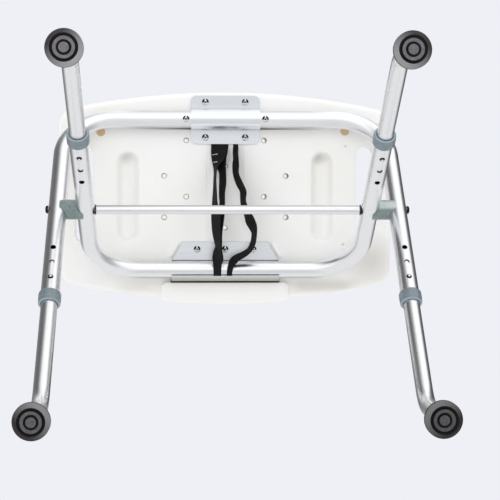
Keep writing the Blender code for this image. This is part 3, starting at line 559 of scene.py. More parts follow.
def finish_of(name):
    """A finish, made the first time it is asked for."""
    key = "stool " + name
    if key not in bpy.data.materials:
        material = FINISHES[name]()
        material.name = key
    return bpy.data.materials[key]


# Making meshes


def new_bmesh():
    """An empty mesh whose vertices can keep their own place on a turned or drawn shape."""
    bm = bmesh.new()
    bm.verts.layers.float_vector.new("grain")
    return bm


def mesh_from(name, bm):
    mesh = bpy.data.meshes.new(name)
    bm.to_mesh(mesh)
    bm.free()
    return mesh


def added(name, data):
    """Puts new data in the scene as an object."""
    item = bpy.data.objects.new(name, data)
    bpy.context.scene.collection.objects.link(item)
    return item


def smooth(mesh, angle):
    mesh.shade_smooth()
    mesh.set_sharp_from_angle(angle=math.radians(angle))


def finished(name, bm, finish, body, replaced=(), angle=32, recalc=True):
    """Turns a bmesh into a piece that rides on a body."""
    bmesh.ops.remove_doubles(bm, verts=bm.verts, dist=0.000002)
    if recalc:
        bmesh.ops.recalc_face_normals(bm, faces=bm.faces)
    mesh = mesh_from(name, bm)
    mesh.materials.append(finish_of(finish))
    smooth(mesh, angle)
    piece = added(name, mesh)
    if body:
        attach(piece, body)
    if replaced:
        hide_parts(*replaced)
    return piece


def baked(piece, angle):
    """Makes a piece's modifiers part of its mesh."""
    bpy.context.view_layer.update()
    depsgraph = bpy.context.evaluated_depsgraph_get()
    mesh = bpy.data.meshes.new_from_object(piece.evaluated_get(depsgraph))
    old = piece.data
    piece.modifiers.clear()
    piece.data = mesh
    bpy.data.meshes.remove(old)
    smooth(mesh, angle)


def carve(piece, bm, angle=32, inside=None):
    """Cuts a piece with a bmesh of cutters. The cuts may have their own finish."""
    bmesh.ops.recalc_face_normals(bm, faces=bm.faces)
    mesh = mesh_from("cutter", bm)
    cutter = added("cutter", mesh)
    cut = piece.modifiers.new("cut", "BOOLEAN")
    cut.solver = "EXACT"
    cut.operation = "DIFFERENCE"
    cut.object = cutter
    if inside:
        mesh.materials.append(finish_of(inside))
        cut.material_mode = "TRANSFER"
    baked(piece, angle)
    bpy.data.objects.remove(cutter)
    bpy.data.meshes.remove(mesh)


def thicken(piece, thickness, even):
    solid = piece.modifiers.new("thickness", "SOLIDIFY")
    solid.thickness = thickness
    solid.offset = 0
    solid.use_even_offset = even


def rounded_path(corners, radius, steps):
    """The points of a path whose inner corners are arcs. The radius is one number, or one for each corner."""
    path = [corners[0]]
    for index in range(1, len(corners) - 1):
        before, corner, after = corners[index - 1:index + 2]
        size = radius[index - 1] if isinstance(radius, (list, tuple)) else radius
        back = (before - corner).normalized()
        ahead = (after - corner).normalized()
        angle = back.angle(ahead)
        if size <= 0 or angle > math.pi - 0.001:
            path.append(corner)
            continue
        centre = corner + (back + ahead).normalized() * size / math.sin(angle / 2)
        run = size / math.tan(angle / 2)
        start = corner + back * run - centre
        end = corner + ahead * run - centre
        sweep = math.pi - angle
        for i in range(steps + 1):
            share = i / steps
            part = start * math.sin((1 - share) * sweep) + end * math.sin(share * sweep)
            path.append(centre + part / math.sin(sweep))
    path.append(corners[-1])
    return path


def eased(profile, radius, steps=3):
    """A profile of radius and height with its corners rounded. A third value gives a corner's own radius."""
    corners = [Vector((row[0], row[1], 0)) for row in profile]
    radii = []
    for index in range(1, len(corners) - 1):
        back = corners[index - 1] - corners[index]
        ahead = corners[index + 1] - corners[index]
        room = min(back.length, ahead.length)
        wanted = profile[index][2] if len(profile[index]) > 2 else radius
        radii.append(min(wanted, 0.48 * room * math.tan(back.angle(ahead) / 2)))
    return [(p.x, p.y) for p in rounded_path(corners, radii, steps)]


def spun(bm, profile, steps, place, closed=False):
    """Turns a profile of radius and height about Z and sets it in place."""
    before = set(bm.verts)
    verts = [bm.verts.new((radius, 0, height)) for radius, height in profile]
    edges = [bm.edges.new(pair) for pair in zip(verts, verts[1:])]
    if closed:
        edges.append(bm.edges.new((verts[-1], verts[0])))
    bmesh.ops.spin(bm, geom=verts + edges, cent=(0, 0, 0), axis=(0, 0, 1), angle=2 * math.pi, steps=steps,
                   use_merge=True, use_duplicate=False)
    grown = [vert for vert in bm.verts if vert not in before]
    grain = bm.verts.layers.float_vector["grain"]
    for vert in grown:
        vert[grain] = vert.co
    bmesh.ops.transform(bm, matrix=place, verts=grown)
    bmesh.ops.remove_doubles(bm, verts=grown, dist=0.000002)


def pin(bm, radius, low, high, steps, place):
    """A round cutter along Z."""
    spun(bm, [(0, high), (radius, high), (radius, low), (0, low)], steps, place)


def dome(radius, low, high, steps):
    """The profile of a domed head, from the middle of its top down to its side."""
    return [(radius * math.sin(t), low + (high - low) * math.cos(t)) for t in arc(0, 90, steps)]


def turned(name, ending, profile, steps, place, finish, body, closed=False, angle=32):
    """A turned piece, named after the node that it replaces."""
    bm = new_bmesh()
    spun(bm, profile, steps, place, closed)
    return finished(name + ending, bm, finish, body, [name], angle)


def verts_in(geom):
    return [item for item in geom if isinstance(item, bmesh.types.BMVert)]


def extruded(bm, edges):
    """Extrudes edges. Returns the vertices and edges at the new side."""
    grown = bmesh.ops.extrude_edge_only(bm, edges=edges)["geom"]
    verts = verts_in(grown)
    fresh = set(verts)
    return verts, [e for e in grown if isinstance(e, bmesh.types.BMEdge) and set(e.verts) <= fresh]


def raised(bm, face, first):
    """Extrudes a cap, and takes the old one away unless it closes the bottom. Returns the new one."""
    grown = bmesh.ops.extrude_face_region(bm, geom=[face])["geom"]
    if not first:
        bmesh.ops.delete(bm, geom=[face], context="FACES_ONLY")
    return next(item for item in grown if isinstance(item, bmesh.types.BMFace)), verts_in(grown)


def path_matrices(path):
    """Axes along a path, Z ahead, turned no more than the path needs."""
    found = []
    aim = (path[1] - path[0]).normalized()
    turn = aim.to_track_quat("Z", "X").to_matrix()
    for index, point in enumerate(path):
        before = path[max(index - 1, 0)]
        after = path[min(index + 1, len(path) - 1)]
        new = (after - before).normalized()
        turn = aim.rotation_difference(new).to_matrix() @ turn
        aim = new
        found.append(Matrix.Translation(point) @ turn.to_4x4())
    return found


def stops_along(path, radius):
    """The axes, the radius and the length run so far at each point of a path."""
    runs = [0.0]
    for before, after in zip(path, path[1:]):
        runs.append(runs[-1] + (after - before).length)
    return [(axes, radius, run) for axes, run in zip(path_matrices(path), runs)]


def swept(bm, stops, sides):
    """Extrudes a circle from stop to stop. Returns its first and last edges."""
    grain = bm.verts.layers.float_vector["grain"]
    axes, size, _ = stops[0]
    ring = bmesh.ops.create_circle(bm, cap_ends=False, segments=sides, radius=size, matrix=axes)["verts"]
    first = edges = list({edge for vert in ring for edge in vert.link_edges})
    for vert in ring:
        vert[grain] = axes.inverted() @ vert.co
    for (last_axes, last_size, _), (axes, size, run) in zip(stops, stops[1:]):
        ring, edges = extruded(bm, edges)
        move = axes @ Matrix.Scale(size / last_size, 4) @ last_axes.inverted()
        bmesh.ops.transform(bm, matrix=move, verts=ring)
        for vert in ring:
            across = axes.inverted() @ vert.co
            vert[grain] = (across.x, across.y, run)
    return first, edges


def smooth_path(points, step):
    """A smooth curve through points, each of which may carry more values, sampled at about one spacing."""
    start = [2 * a - b for a, b in zip(points[0], points[1])]
    end = [2 * a - b for a, b in zip(points[-1], points[-2])]
    rows = [start, *points, end]
    path = []
    for index in range(1, len(rows) - 2):
        before, first, second, after = rows[index - 1:index + 3]
        count = max(2, round(math.dist(first[:3], second[:3]) / step))
        for i in range(count):
            t = i / count
            path.append([
                0.5 * (2 * b + (c - a) * t + (2 * a - 5 * b + 4 * c - d) * t * t
                       + (3 * b - a - 3 * c + d) * t**3)
                for a, b, c, d in zip(before, first, second, after)])
    path.append(list(points[-1]))
    return path


def pipe(name, path, radius, finish, body, sides=48):
    """A hollow tube along a path: its outside, then its inside, joined by the rims at its two ends."""
    outside = stops_along(path, radius)
    inside = [(axes, radius - sizes().tube_wall, run) for axes, _, run in reversed(outside)]
    bm = new_bmesh()
    swept(bm, outside + inside + outside[:1], sides)
    return finished(name + "_drawn", bm, finish, body, [name])


def ring_loft(bm, half, rings):
    """Closes a stack of stadium rings, each of a radius and a height, into a solid along Y."""
    radius, height = rings[0]
    verts = bmesh.ops.create_circle(bm, cap_ends=True, segments=40, radius=radius)["verts"]
    for vert in verts:
        angle = math.atan2(vert.co.y, vert.co.x)
        vert.co.y += half if math.sin(angle) > 0 else -half
        vert.co.z = height
    face = verts[0].link_faces[0]
    for index, (radius, height) in enumerate(rings[1:]):
        face, grown = raised(bm, face, index == 0)
        for vert in grown:
            middle = Vector((0, math.copysign(half, vert.co.y), 0))
            out = Vector((vert.co.x, vert.co.y - middle.y, 0)).normalized()
            vert.co = middle + out * radius + Vector((0, 0, height))
        verts += grown
    return verts


def stacked(bm, rings):
    """Closes a stack of rings, each with as many points run anticlockwise, into a solid."""
    verts = bmesh.ops.create_circle(bm, cap_ends=True, segments=len(rings[0]), radius=1.0)["verts"]
    verts.sort(key=lambda v: math.atan2(v.co.y, v.co.x) % (2 * math.pi))
    order = {vert: index for index, vert in enumerate(verts)}
    face = verts[0].link_faces[0]
    for level, ring in enumerate(rings):
        if level:
            below = {tuple(vert.co): index for vert, index in order.items()}
            face, grown = raised(bm, face, level == 1)
            order = {vert: below[tuple(vert.co)] for vert in grown}
            verts += grown
        for vert, index in order.items():
            vert.co = ring[index]
    bm.normal_update()
    return verts


def prism(bm, outline, low, high):
    """An upright block with an outline given anticlockwise."""
    return stacked(bm, [[(x, y, height) for x, y in outline] for height in (low, high)])


def soften(bm, edges, width, segments):
    bmesh.ops.bevel(bm, geom=edges, offset=width, offset_type="OFFSET", affect="EDGES", segments=segments,
                    profile=0.5, material=-1, clamp_overlap=True)


def block(bm, low, high, soft):
    """A box between two corners, with soft edges."""
    made = bmesh.ops.create_cube(bm, size=1.0)["verts"]
    for vert in made:
        vert.co = Vector(high[k] if vert.co[k] > 0 else low[k] for k in range(3))
    soften(bm, list({edge for vert in made for edge in vert.link_edges}), soft, 3)


# Frames and legs


def build_frame_tube(which):
    ends = [leg_point(which, side, FRAME_LEG_LENGTH) for _, side in SIDES]
    tops = [leg_point(which, side, -math.hypot(which.offset, TUBE_RISE)) for _, side in SIDES]
    path = rounded_path([ends[0], tops[0], tops[1], ends[1]], FRAME_BEND_RADIUS, 24)
    tube = sizes().tube
    piece = pipe(which.name + "_frame_tube", path, tube / 2, which.name + " tube", which.body, 56)
    cutters = new_bmesh()
    for _, side in SIDES:
        for hole in range(3):
            pin(cutters, HOLE_RADIUS, tube * 0.2, tube, 32, hole_matrix(which, side, hole))
        pin(cutters, BOLT_HOLE_RADIUS, -0.03, 0.03, 24, pointing(leg_point(which, side, 0), (1, 0, 0)))
    # The holes' walls take the near black recess finish as painted shade
    carve(piece, cutters, inside="recess")


def build_lower_leg(which, side, name):
    top = leg_point(which, side, LOWER_TOP)
    bend = leg_point(which, side, which.bend)
    path = rounded_path([top, bend, Vector((bend.x, bend.y, FOOT_SOLE + GAP))], LOWER_BEND_RADIUS, 24)
    piece = pipe(name + "_lower_leg", path, sizes().lower_tube / 2, which.name + " tube", name + "_leg")
    cutters = new_bmesh()
    pin(cutters, HOLE_RADIUS, 0.005, 0.02, 32, hole_matrix(which, side))
    carve(piece, cutters)


def build_collar(which, side, name):
    size = sizes()
    inner = size.lower_tube / 2 + 0.0004
    bore = size.tube / 2 + GAP
    outer = 0.0153
    length = COLLAR_LENGTH
    profile = [
        (bore, length * 0.5), (bore, length), (outer - 0.0004, length, 0.0006),
        (outer, length - 0.0012, 0.0006), (outer, length * 0.40, 0.0015),
        (outer - 0.0005, length * 0.30, 0.0015), (outer - 0.0003, 0.0018, 0.0012),
        (outer - 0.0018, 0, 0.0012), (inner + 0.0006, 0, 0.0004), (inner, 0.0008, 0.0004),
        (inner, 0.0022), (bore, 0.0022), (bore, length * 0.5)]
    place = leg_matrix(which, side, COLLAR_DISTANCE + length)
    turned(name + "_leg_collar", "_moulded", eased(profile, 0.0002)[:-1], 64, place, "collar", which.body,
           True, 50)


def build_foot(which, side, name):
    """The foot: a flared cup with ring grooves in its sole."""
    bore = sizes().lower_tube / 2 + GAP
    edge = sizes().foot / 2
    profile = [
        (0, FOOT_SOLE), (bore, FOOT_SOLE), (bore, FOOT_HEIGHT), (0.0158, FOOT_HEIGHT, 0.0015),
        (0.0158, 0.0275, 0.006), (edge - 0.0012, 0.0172, 0.005), (edge, 0.0140, 0.002),
        (edge, 0.0052, 0.003), (0.0188, 0.0004, 0.003),
        (0.0174, 0.0002, 0.0004), (0.0170, 0.0032, 0.0005), (0.0144, 0.0032, 0.0005), (0.0141, 0, 0.0004),
        (0.0094, 0, 0.0004), (0.0091, 0.0028, 0.0005), (0.0067, 0.0028, 0.0005), (0.0064, 0, 0.0004), (0, 0)]
    bend = leg_point(which, side, which.bend)
    place = Matrix.Translation((bend.x, bend.y, 0))
    turned(name + "_foot", "_moulded", eased(profile, 0.0004, 4), 72, place, "rubber", name + "_leg",
           angle=40)


def build_snap_button(which, side, name):
    size = sizes()
    top = size.tube / 2 + 0.002
    radius = 0.0030
    wide = BUTTON_FLANGE_RADIUS
    base = math.sqrt((size.lower_tube / 2 - size.tube_wall) ** 2 - (wide + GAP) ** 2) - GAP
    profile = dome(radius, top - radius * 0.62, top, 10)
    low = base - BUTTON_FLANGE_THICKNESS
    profile += [(radius, base), (wide, base), (wide, low), (0, low)]
    turned(name + "_snap_button", "_domed", profile, 32, hole_matrix(which, side), "button", name + "_button")


def build_spring(which, side, name):
    """The V of spring strip behind a button."""
    size = sizes()
    wall = size.lower_tube / 2 - size.tube_wall
    half = SPRING_HALF_WIDTH
    flange = math.sqrt(wall**2 - (BUTTON_FLANGE_RADIUS + GAP) ** 2) - BUTTON_FLANGE_THICKNESS
    near = flange - 2 * GAP - SPRING_THICKNESS / 2
    far = -math.sqrt(wall**2 - half**2) + GAP + SPRING_THICKNESS / 2
    middle = (near + far) / 2
    reach = (near - far) / 2 * 0.30
    rows = [(half, near, -0.010), (half, near, 0.0046)]
    rows += [(half, middle + reach * math.cos(t), 0.0221 + 0.0039 * math.sin(t)) for t in arc(0, 180, 12)]
    rows += [(half, far, 0.0046), (half, far, -0.010)]
    place = leg_matrix(which, side, HOLE_DISTANCE)
    bm = folded(rows)
    bmesh.ops.transform(bm, matrix=place, verts=bm.verts)
    node = name + "_button_spring"
    piece = finished(node + "_bent", bm, "steel", None, [node], 50, recalc=False)
    thicken(piece, SPRING_THICKNESS, True)
    baked(piece, 50)
    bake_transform(piece)


# Pivot


def rod_end():
    """Where the rod ends, and its washers begin, from the middle."""
    return INNER.half_width - sizes().tube / 2 - WASHER_THICKNESS - 2 * GAP


def build_rod():
    half = rod_end()
    radius = sizes().rod / 2
    profile = [
        (0, half - 0.02), (BOLT_BORE, half - 0.02), (BOLT_BORE, half), (radius, half, 0.0006), (radius, 0),
        (radius, -half, 0.0006), (BOLT_BORE, -half), (BOLT_BORE, 0.02 - half), (0, 0.02 - half)]
    turned("pivot_rod", "_turned", eased(profile, 0.0001), 48, pointing(PIVOT, (1, 0, 0)), "inner tube",
           INNER.body)


def cross_recess(bm, place, top, reach):
    """The cutter for a cross recess, narrowing as it goes down."""
    half = 0.0008
    outline = []
    for c, s in ((1, 0), (0, 1), (-1, 0), (0, -1)):
        outline += [(x * c - y * s, x * s + y * c) for x, y in ((reach, -half), (reach, half), (half, half))]
    made = prism(bm, outline, top - 0.0016, top + 0.001)
    for vert in made:
        if vert.co.z < top:
            vert.co.x *= 0.6
            vert.co.y *= 0.6
    bmesh.ops.transform(bm, matrix=place @ Matrix.Rotation(math.radians(20), 4, "Z"), verts=made)


def screws(name, spots, length, body):
    """Pan head screws with cross recesses, heads down, named after the nodes that they replace."""
    bm = new_bmesh()
    cutters = new_bmesh()
    head = 0.0050
    rise = 0.0026
    shank = 0.002
    profile = dome(head, 0.30 * rise, rise, 8)
    profile += [(head, 0.0002), (head - 0.0003, 0), (shank, 0), (shank, shank - length), (0, -length)]
    for index, spot in enumerate(spots):
        place = pointing(spot, (0, 0, -1))
        spun(bm, profile, 40, place)
        cross_recess(cutters, place @ Matrix.Rotation(0.7 * index, 4, "Z"), rise, head * 0.5)
    nodes = [f"{name}_{index + 1}" for index in range(len(spots))]
    piece = finished(name + "s", bm, "screw", body, nodes)
    # The cross recesses take the near black recess finish as painted shade
    carve(piece, cutters, 40, "recess")


def build_bolt(label, side):
    head = OUTER.half_width + sizes().tube / 2 + GAP
    tip = rod_end() - 0.016
    rise = 0.0042
    wide = 0.0056
    shank = 0.003
    profile = dome(wide, head + 0.45 * rise, head + rise, 8)
    profile += [(wide, head), (shank, head), (shank, tip), (0, tip)]
    place = pointing(PIVOT, (side, 0, 0))
    piece = turned(label + "_pivot_bolt", "_turned", profile, 40, place, "steel", INNER.body)
    cutters = new_bmesh()
    cross_recess(cutters, place, head + rise, wide * 0.6)
    # The cross recess takes the near black recess finish as painted shade
    carve(piece, cutters, 40, "recess")


def build_rod_washer(label, side):
    face = INNER.half_width - sizes().tube / 2 - GAP
    back = face - WASHER_THICKNESS
    middle = face - WASHER_THICKNESS / 2
    profile = [
        (BOLT_BORE, middle), (BOLT_BORE, face), (0.0075, face, 0.0003), (0.0075, back, 0.0003),
        (BOLT_BORE, back), (BOLT_BORE, middle)]
    place = pointing(PIVOT, (side, 0, 0))
    turned(label + "_rod_washer", "_moulded", eased(profile, 0.0001)[:-1], 48, place, "black", INNER.body,
           True)


def build_saddles(label, side):
    """The two saddle washers of one side, back to back, each hollowed for its leg."""
    tube = sizes().tube / 2
    between = (OUTER.half_width + INNER.half_width) / 2
    for which, away in ((OUTER, 1), (INNER, -1)):
        near = between + away * 0.00004
        far = which.half_width - away * (tube - 0.009)
        low, high = sorted((near, far))
        middle = (low + high) / 2
        profile = [
            (BOLT_BORE, middle), (BOLT_BORE, high), (0.014, high, 0.00006), (0.014, low, 0.00006),
            (BOLT_BORE, low), (BOLT_BORE, middle)]
        piece = turned(f"{label}_{which.name}_saddle", "_moulded", eased(profile, 0.00002)[:-1], 64,
                       pointing(PIVOT, (side, 0, 0)), "saddle", which.body, True)
        cutters = new_bmesh()
        pin(cutters, tube + GAP, -0.03, 0.03, 56, leg_matrix(which, side, 0))
        carve(piece, cutters)


# Seat


def edge_fall(x):
    """How far the long edges' shallow arc has come in, at this distance from the seat's middle."""
    return SEAT_EDGE_ARC - math.sqrt(SEAT_EDGE_ARC**2 - x**2)


def bump_at(x):
    """How far the front's thicker middle stands out, at this distance from the seat's middle."""
    share = min(1.0, max(0.0, (BUMP_HALF_WIDTH - abs(x)) / BUMP_SLOPE))
    return BUMP_DEPTH * share * share * (3 - 2 * share)


def seat_outline():
    """The outline in X and Y about the seat's middle, run anticlockwise and evenly spaced."""
    half = SEAT_LENGTH / 2
    depth = SEAT_DEPTH / 2
    corner = depth - edge_fall(half)
    count = 56
    spots = [-half + SEAT_LENGTH * i / count for i in range(count + 1)]
    front = [Vector((x, -(depth - edge_fall(x)) - bump_at(x), 0)) for x in spots if abs(x) < half - 0.036]
    back = [Vector((-p.x, depth - edge_fall(p.x), 0)) for p in front]
    outline = list(front)
    for sign, corner_x, after in ((1, half, back[0]), (-1, -half, front[0])):
        ends = [Vector((corner_x, y, 0)) for y in (-sign * corner, sign * corner)]
        outline += rounded_path([outline[-1], *ends, after], SEAT_CORNER_RADIUS, 12)[1:-1]
        if sign == 1:
            outline += back
    return outline


def offset_ring(outline, inset, height):
    """The outline moved in square to itself, at a height and in the seat's place."""
    ring = []
    for index, point in enumerate(outline):
        along = (outline[(index + 1) % len(outline)] - outline[index - 1]).normalized()
        ring.append(point + Vector((-along.y, along.x, 0)) * inset + Vector((0, SEAT_Y, height)))
    return ring


def seat_body():
    """Stacks the outline's rings into the closed panel, with a rounded edge above and below."""
    outline = seat_outline()
    edge = sizes().seat_edge
    turns = arc(0, 90, 6)
    levels = [(edge * (1 - math.sin(t)), UNDERSIDE + edge * (1 - math.cos(t))) for t in turns]
    levels += [(edge * (1 - math.cos(t)), SEAT_TOP - edge * (1 - math.sin(t))) for t in turns]
    bm = new_bmesh()
    stacked(bm, [offset_ring(outline, inset, height) for inset, height in levels])
    return bm


def seat_cutters():
    """Hand slots, long pockets and vents."""
    bm = new_bmesh()
    thick = SEAT_TOP - UNDERSIDE
    for side in (-1, 1):
        length, width, offset = SLOT
        radius = width / 2
        flare = 0.0030
        rings = [(radius + flare * 1.6, -0.004), (radius + flare, -0.0004)]
        rings += [(radius + flare * (1 - math.sin(t)), flare * (1 - math.cos(t))) for t in arc(15, 90, 5)]
        rings += [(size, thick - height) for size, height in reversed(rings)]
        made = ring_loft(bm, (length - width) / 2, rings)
        bmesh.ops.translate(bm, verts=made, vec=(side * offset, SLOT_Y, UNDERSIDE))
        length, width, offset = POCKET
        radius = width / 2
        flare = 0.005
        deep = 0.009
        rings = [(radius + flare * 1.3, -0.004), (radius + flare, -0.0002)]
        neck = radius - 0.001
        rings += [(neck + flare * (1 - math.sin(t)), flare * (1 - math.cos(t))) for t in arc(20, 80, 3)]
        for turn in (0, 22, 45, 68, 88):
            t = math.radians(turn)
            rings.append((radius - 0.0035 - deep * (1 - math.cos(t)), deep + deep * math.sin(t)))
        made = ring_loft(bm, (length - width) / 2, rings)
        bmesh.ops.translate(bm, verts=made, vec=(side * offset, SEAT_Y, UNDERSIDE))
    for x, y in VENTS:
        hole = [(0, -0.003), (0.0048, -0.003), (0.0040, -0.0002), (0.0034, 0.0004), (0.0030, 0.0014),
                (0.0010, 0.0014), (0.0010, 0.006), (0, 0.006)]
        spun(bm, hole, 28, Matrix.Translation((x, SEAT_Y + y, UNDERSIDE)))
    return bm


def drain_cutters():
    bm = new_bmesh()
    thick = SEAT_TOP - UNDERSIDE
    rim = [(0, -0.004), (0.0052, -0.004), (0.0044, 0.0001), (0.0038, 0.0010), (0.0032, 0.0030),
           (0.0032, thick - 0.002), (0.0038, thick - 0.0006), (0.0055, thick + 0.002), (0, thick + 0.002)]
    for x, y in DRAINS:
        for side in (-1, 1) if x else (1,):
            spun(bm, rim, 28, Matrix.Translation((side * x, SEAT_Y + y, UNDERSIDE)))
    return bm


def strap_cutter(half, start, end, depth, soft):
    """A flat recess for the strap in the underside, between two places in Y."""
    bm = new_bmesh()
    block(bm, (-half, start, UNDERSIDE - 0.004), (half, end, UNDERSIDE + depth), soft)
    return bm


def catch_cutter():
    """The shallow pocket that the catch bracket's flange lies in."""
    bm = new_bmesh()
    y = cross_tube(INNER).y
    front = y - CATCH_HOOK_SHIFT - TUBE_RADIUS - SHEET - 2 * GAP
    half = CATCH_HALF_WIDTH + GAP
    right = [(half, front), (half, y + TUBE_RADIUS), (0.0645, y + CATCH_FLANGE_END + GAP)]
    outline = right + [(-x, yy) for x, yy in reversed(right)]
    prism(bm, outline, UNDERSIDE - 0.004, UNDERSIDE + SHEET + GAP)
    return bm


def build_seat():
    """The panel, cut for its holes and what is fixed to it. The strap's groove is deeper at its held end."""
    piece = finished("seat_moulded", seat_body(), "seat", "seat", ["seat"])
    carve(piece, seat_cutters())
    carve(piece, drain_cutters(), inside="hole_rim")
    hinge = cross_tube(OUTER).y
    groove_start = cross_tube(INNER).y + CATCH_FLANGE_END + 0.0026
    carve(piece, strap_cutter(0.028, groove_start, hinge - TUBE_RADIUS, 0.0005, 0.0004))
    carve(piece, strap_cutter(0.026, hinge - 0.034, hinge - 0.0129, 0.0020, 0.0006))
    carve(piece, catch_cutter())
    pilots = new_bmesh()
    for spot in hinge_screw_spots() + catch_screw_spots():
        pin(pilots, 0.0023, -0.004, SCREW_LENGTH + 0.0005, 16, Matrix.Translation(spot))
    carve(piece, pilots)


def build_seat_plugs():
    """The two tan plugs under the outer frame's corners."""
    bm = new_bmesh()
    profile = [
        (0, 0.0006), (0.0062, 0.0006, 0.0004), (0.0066, -0.0001, 0.0003), (0.0066, -0.0006), (0, -0.0006)]
    for x, y in ((0.185, 0.1144), (-0.1793, 0.1167)):
        spun(bm, eased(profile, 0.0002), 36, pointing((x, PIVOT_Y + y, UNDERSIDE), (0, 0, -1)))
    finished("seat_plugs", bm, "tan", "seat", ())


def build_front_boss():
    """The thicker, cushioned middle of the seat's front edge, in front of the catch."""
    bm = new_bmesh()
    back = cross_tube(INNER).y - 0.0188
    half = 0.0955
    corner = 0.009

    def front(x):
        return SEAT_Y - (SEAT_DEPTH / 2 - edge_fall(x)) - bump_at(x) + 0.0004

    outline = [(x, front(x)) for x in [half * (i / 12 - 1) for i in range(1, 24)]]
    turns = (outline[-1], (half, front(half)), (half, back), (0, back))
    path = [Vector((x, y, 0)) for x, y in turns]
    right = [(p.x, p.y) for p in rounded_path(path, [corner * 0.6, corner], 8)[1:-1]]
    outline += right + [(-x, y) for x, y in reversed(right)]
    prism(bm, outline, UNDERSIDE - 0.0065, UNDERSIDE + 0.012)
    low = [e for e in bm.edges if all(v.co.z < UNDERSIDE for v in e.verts) and len(e.link_faces) == 2]
    soften(bm, low, 0.0020, 5)
    finished("seat_front_boss", bm, "seat", "seat", ())


def build_seat_ribs():
    """The two small ribs beside the catch."""
    bm = new_bmesh()
    corner = Vector((0.00225, 0.0125, 0.0025))
    for side in (-1, 1):
        before = set(bm.verts)
        block(bm, -corner, corner, 0.0012)
        turn = Matrix.Rotation(side * math.radians(29), 4, "Z")
        place = Matrix.Translation((side * 0.0762, cross_tube(INNER).y + 0.0290, UNDERSIDE - 0.0010))
        bmesh.ops.transform(bm, matrix=place @ turn, verts=[v for v in bm.verts if v not in before])
    finished("seat_ribs", bm, "seat", "seat", ())


# Brackets


def hinge_screw_spots():
    y = cross_tube(OUTER).y
    height = UNDERSIDE - SHEET - 2 * GAP
    return [Vector((x, y + away, height)) for x in (-0.0297, 0.0297) for away in (-0.0263, 0.0263)]


def catch_screw_spots():
    y = cross_tube(INNER).y + 0.030
    return [Vector((x, y, UNDERSIDE - GAP)) for x in (-0.0419, 0, 0.0419)]


def folded(rows):
    """The middle surface of a folded strip, from rows of half width, Y and Z."""
    bm = new_bmesh()
    half, y, z = rows[0]
    edges = [bm.edges.new([bm.verts.new((-half, y, z)), bm.verts.new((half, y, z))])]
    for half, y, z in rows[1:]:
        verts, edges = extruded(bm, edges)
        for vert in verts:
            vert.co = Vector((math.copysign(half, vert.co.x), y, z))
    bmesh.ops.recalc_face_normals(bm, faces=bm.faces)
    return bm


def bent_sheet(node, rows, centre, holes):
    """A folded sheet about a tube's centre, with its thickness and soft edges, drilled."""
    bm = folded([(half, y + centre.y, z + centre.z) for half, y, z in rows])
    piece = finished(node + "_folded", bm, "bracket", "seat", [node], 30, recalc=False)
    thicken(piece, SHEET, True)
    cutters = new_bmesh()
    for spot in holes:
        pin(cutters, 0.0024, -0.006, 0.006, 24, Matrix.Translation(spot))
    carve(piece, cutters, 30)
    soft = piece.modifiers.new("soft edges", "BEVEL")
    soft.width = 0.0004
    soft.segments = 2
    soft.limit_method = "ANGLE"
    soft.angle_limit = math.radians(50)
    soft.use_clamp_overlap = True
    soft.harden_normals = True


def build_hinge_bracket():
    centre = cross_tube(OUTER)
    half = HINGE_HALF_WIDTH
    radius = sizes().tube / 2 + GAP + SHEET / 2
    flange = UNDERSIDE - GAP - SHEET / 2 - centre.z
    corner = 0.008
    fillet = 0.0025
    end = -0.036
    rows = [
        (half - corner * (1 - math.sin(t)), end + corner * (1 - math.cos(t)), flange) for t in arc(0, 90, 9)]
    for t in arc(0, 90, 6):
        rows.append((half, -radius - fillet + fillet * math.sin(t), flange - fillet + fillet * math.cos(t)))
    rows += [(half, -radius * math.cos(t), -radius * math.sin(t)) for t in arc(0, 90, 18)]
    rows += [(w, -y, z) for w, y, z in reversed(rows[:-1])]
    bent_sheet("hinge_bracket", rows, centre, hinge_screw_spots())


def build_catch_bracket():
    half = CATCH_HALF_WIDTH
    radius = sizes().tube / 2 + GAP + SHEET / 2
    rows = [(0.0642, CATCH_FLANGE_END, radius), (0.0690, 0.0324, radius), (0.0742, 0.023, radius),
            (half, TUBE_RADIUS, radius)]
    rows += [(half, radius * math.cos(t) - CATCH_HOOK_SHIFT, radius * math.sin(t)) for t in arc(90, 242, 30)]
    bent_sheet("catch_bracket", rows, cross_tube(INNER), catch_screw_spots())


def build_screws():
    screws("hinge_bracket_screw", hinge_screw_spots(), SCREW_LENGTH, "seat")
    screws("catch_bracket_screw", catch_screw_spots(), SCREW_LENGTH, "seat")
    x = HINGE_HALF_WIDTH + 0.003 + 0.0044
    below = -sizes().tube / 2 - GAP
    spots = [cross_tube(OUTER) + Vector((side * x, 0, below)) for side in (-1, 1)]
    screws("tube_stop_screw", spots, STOP_SCREW_LENGTH, "outer_frame")


# Strap

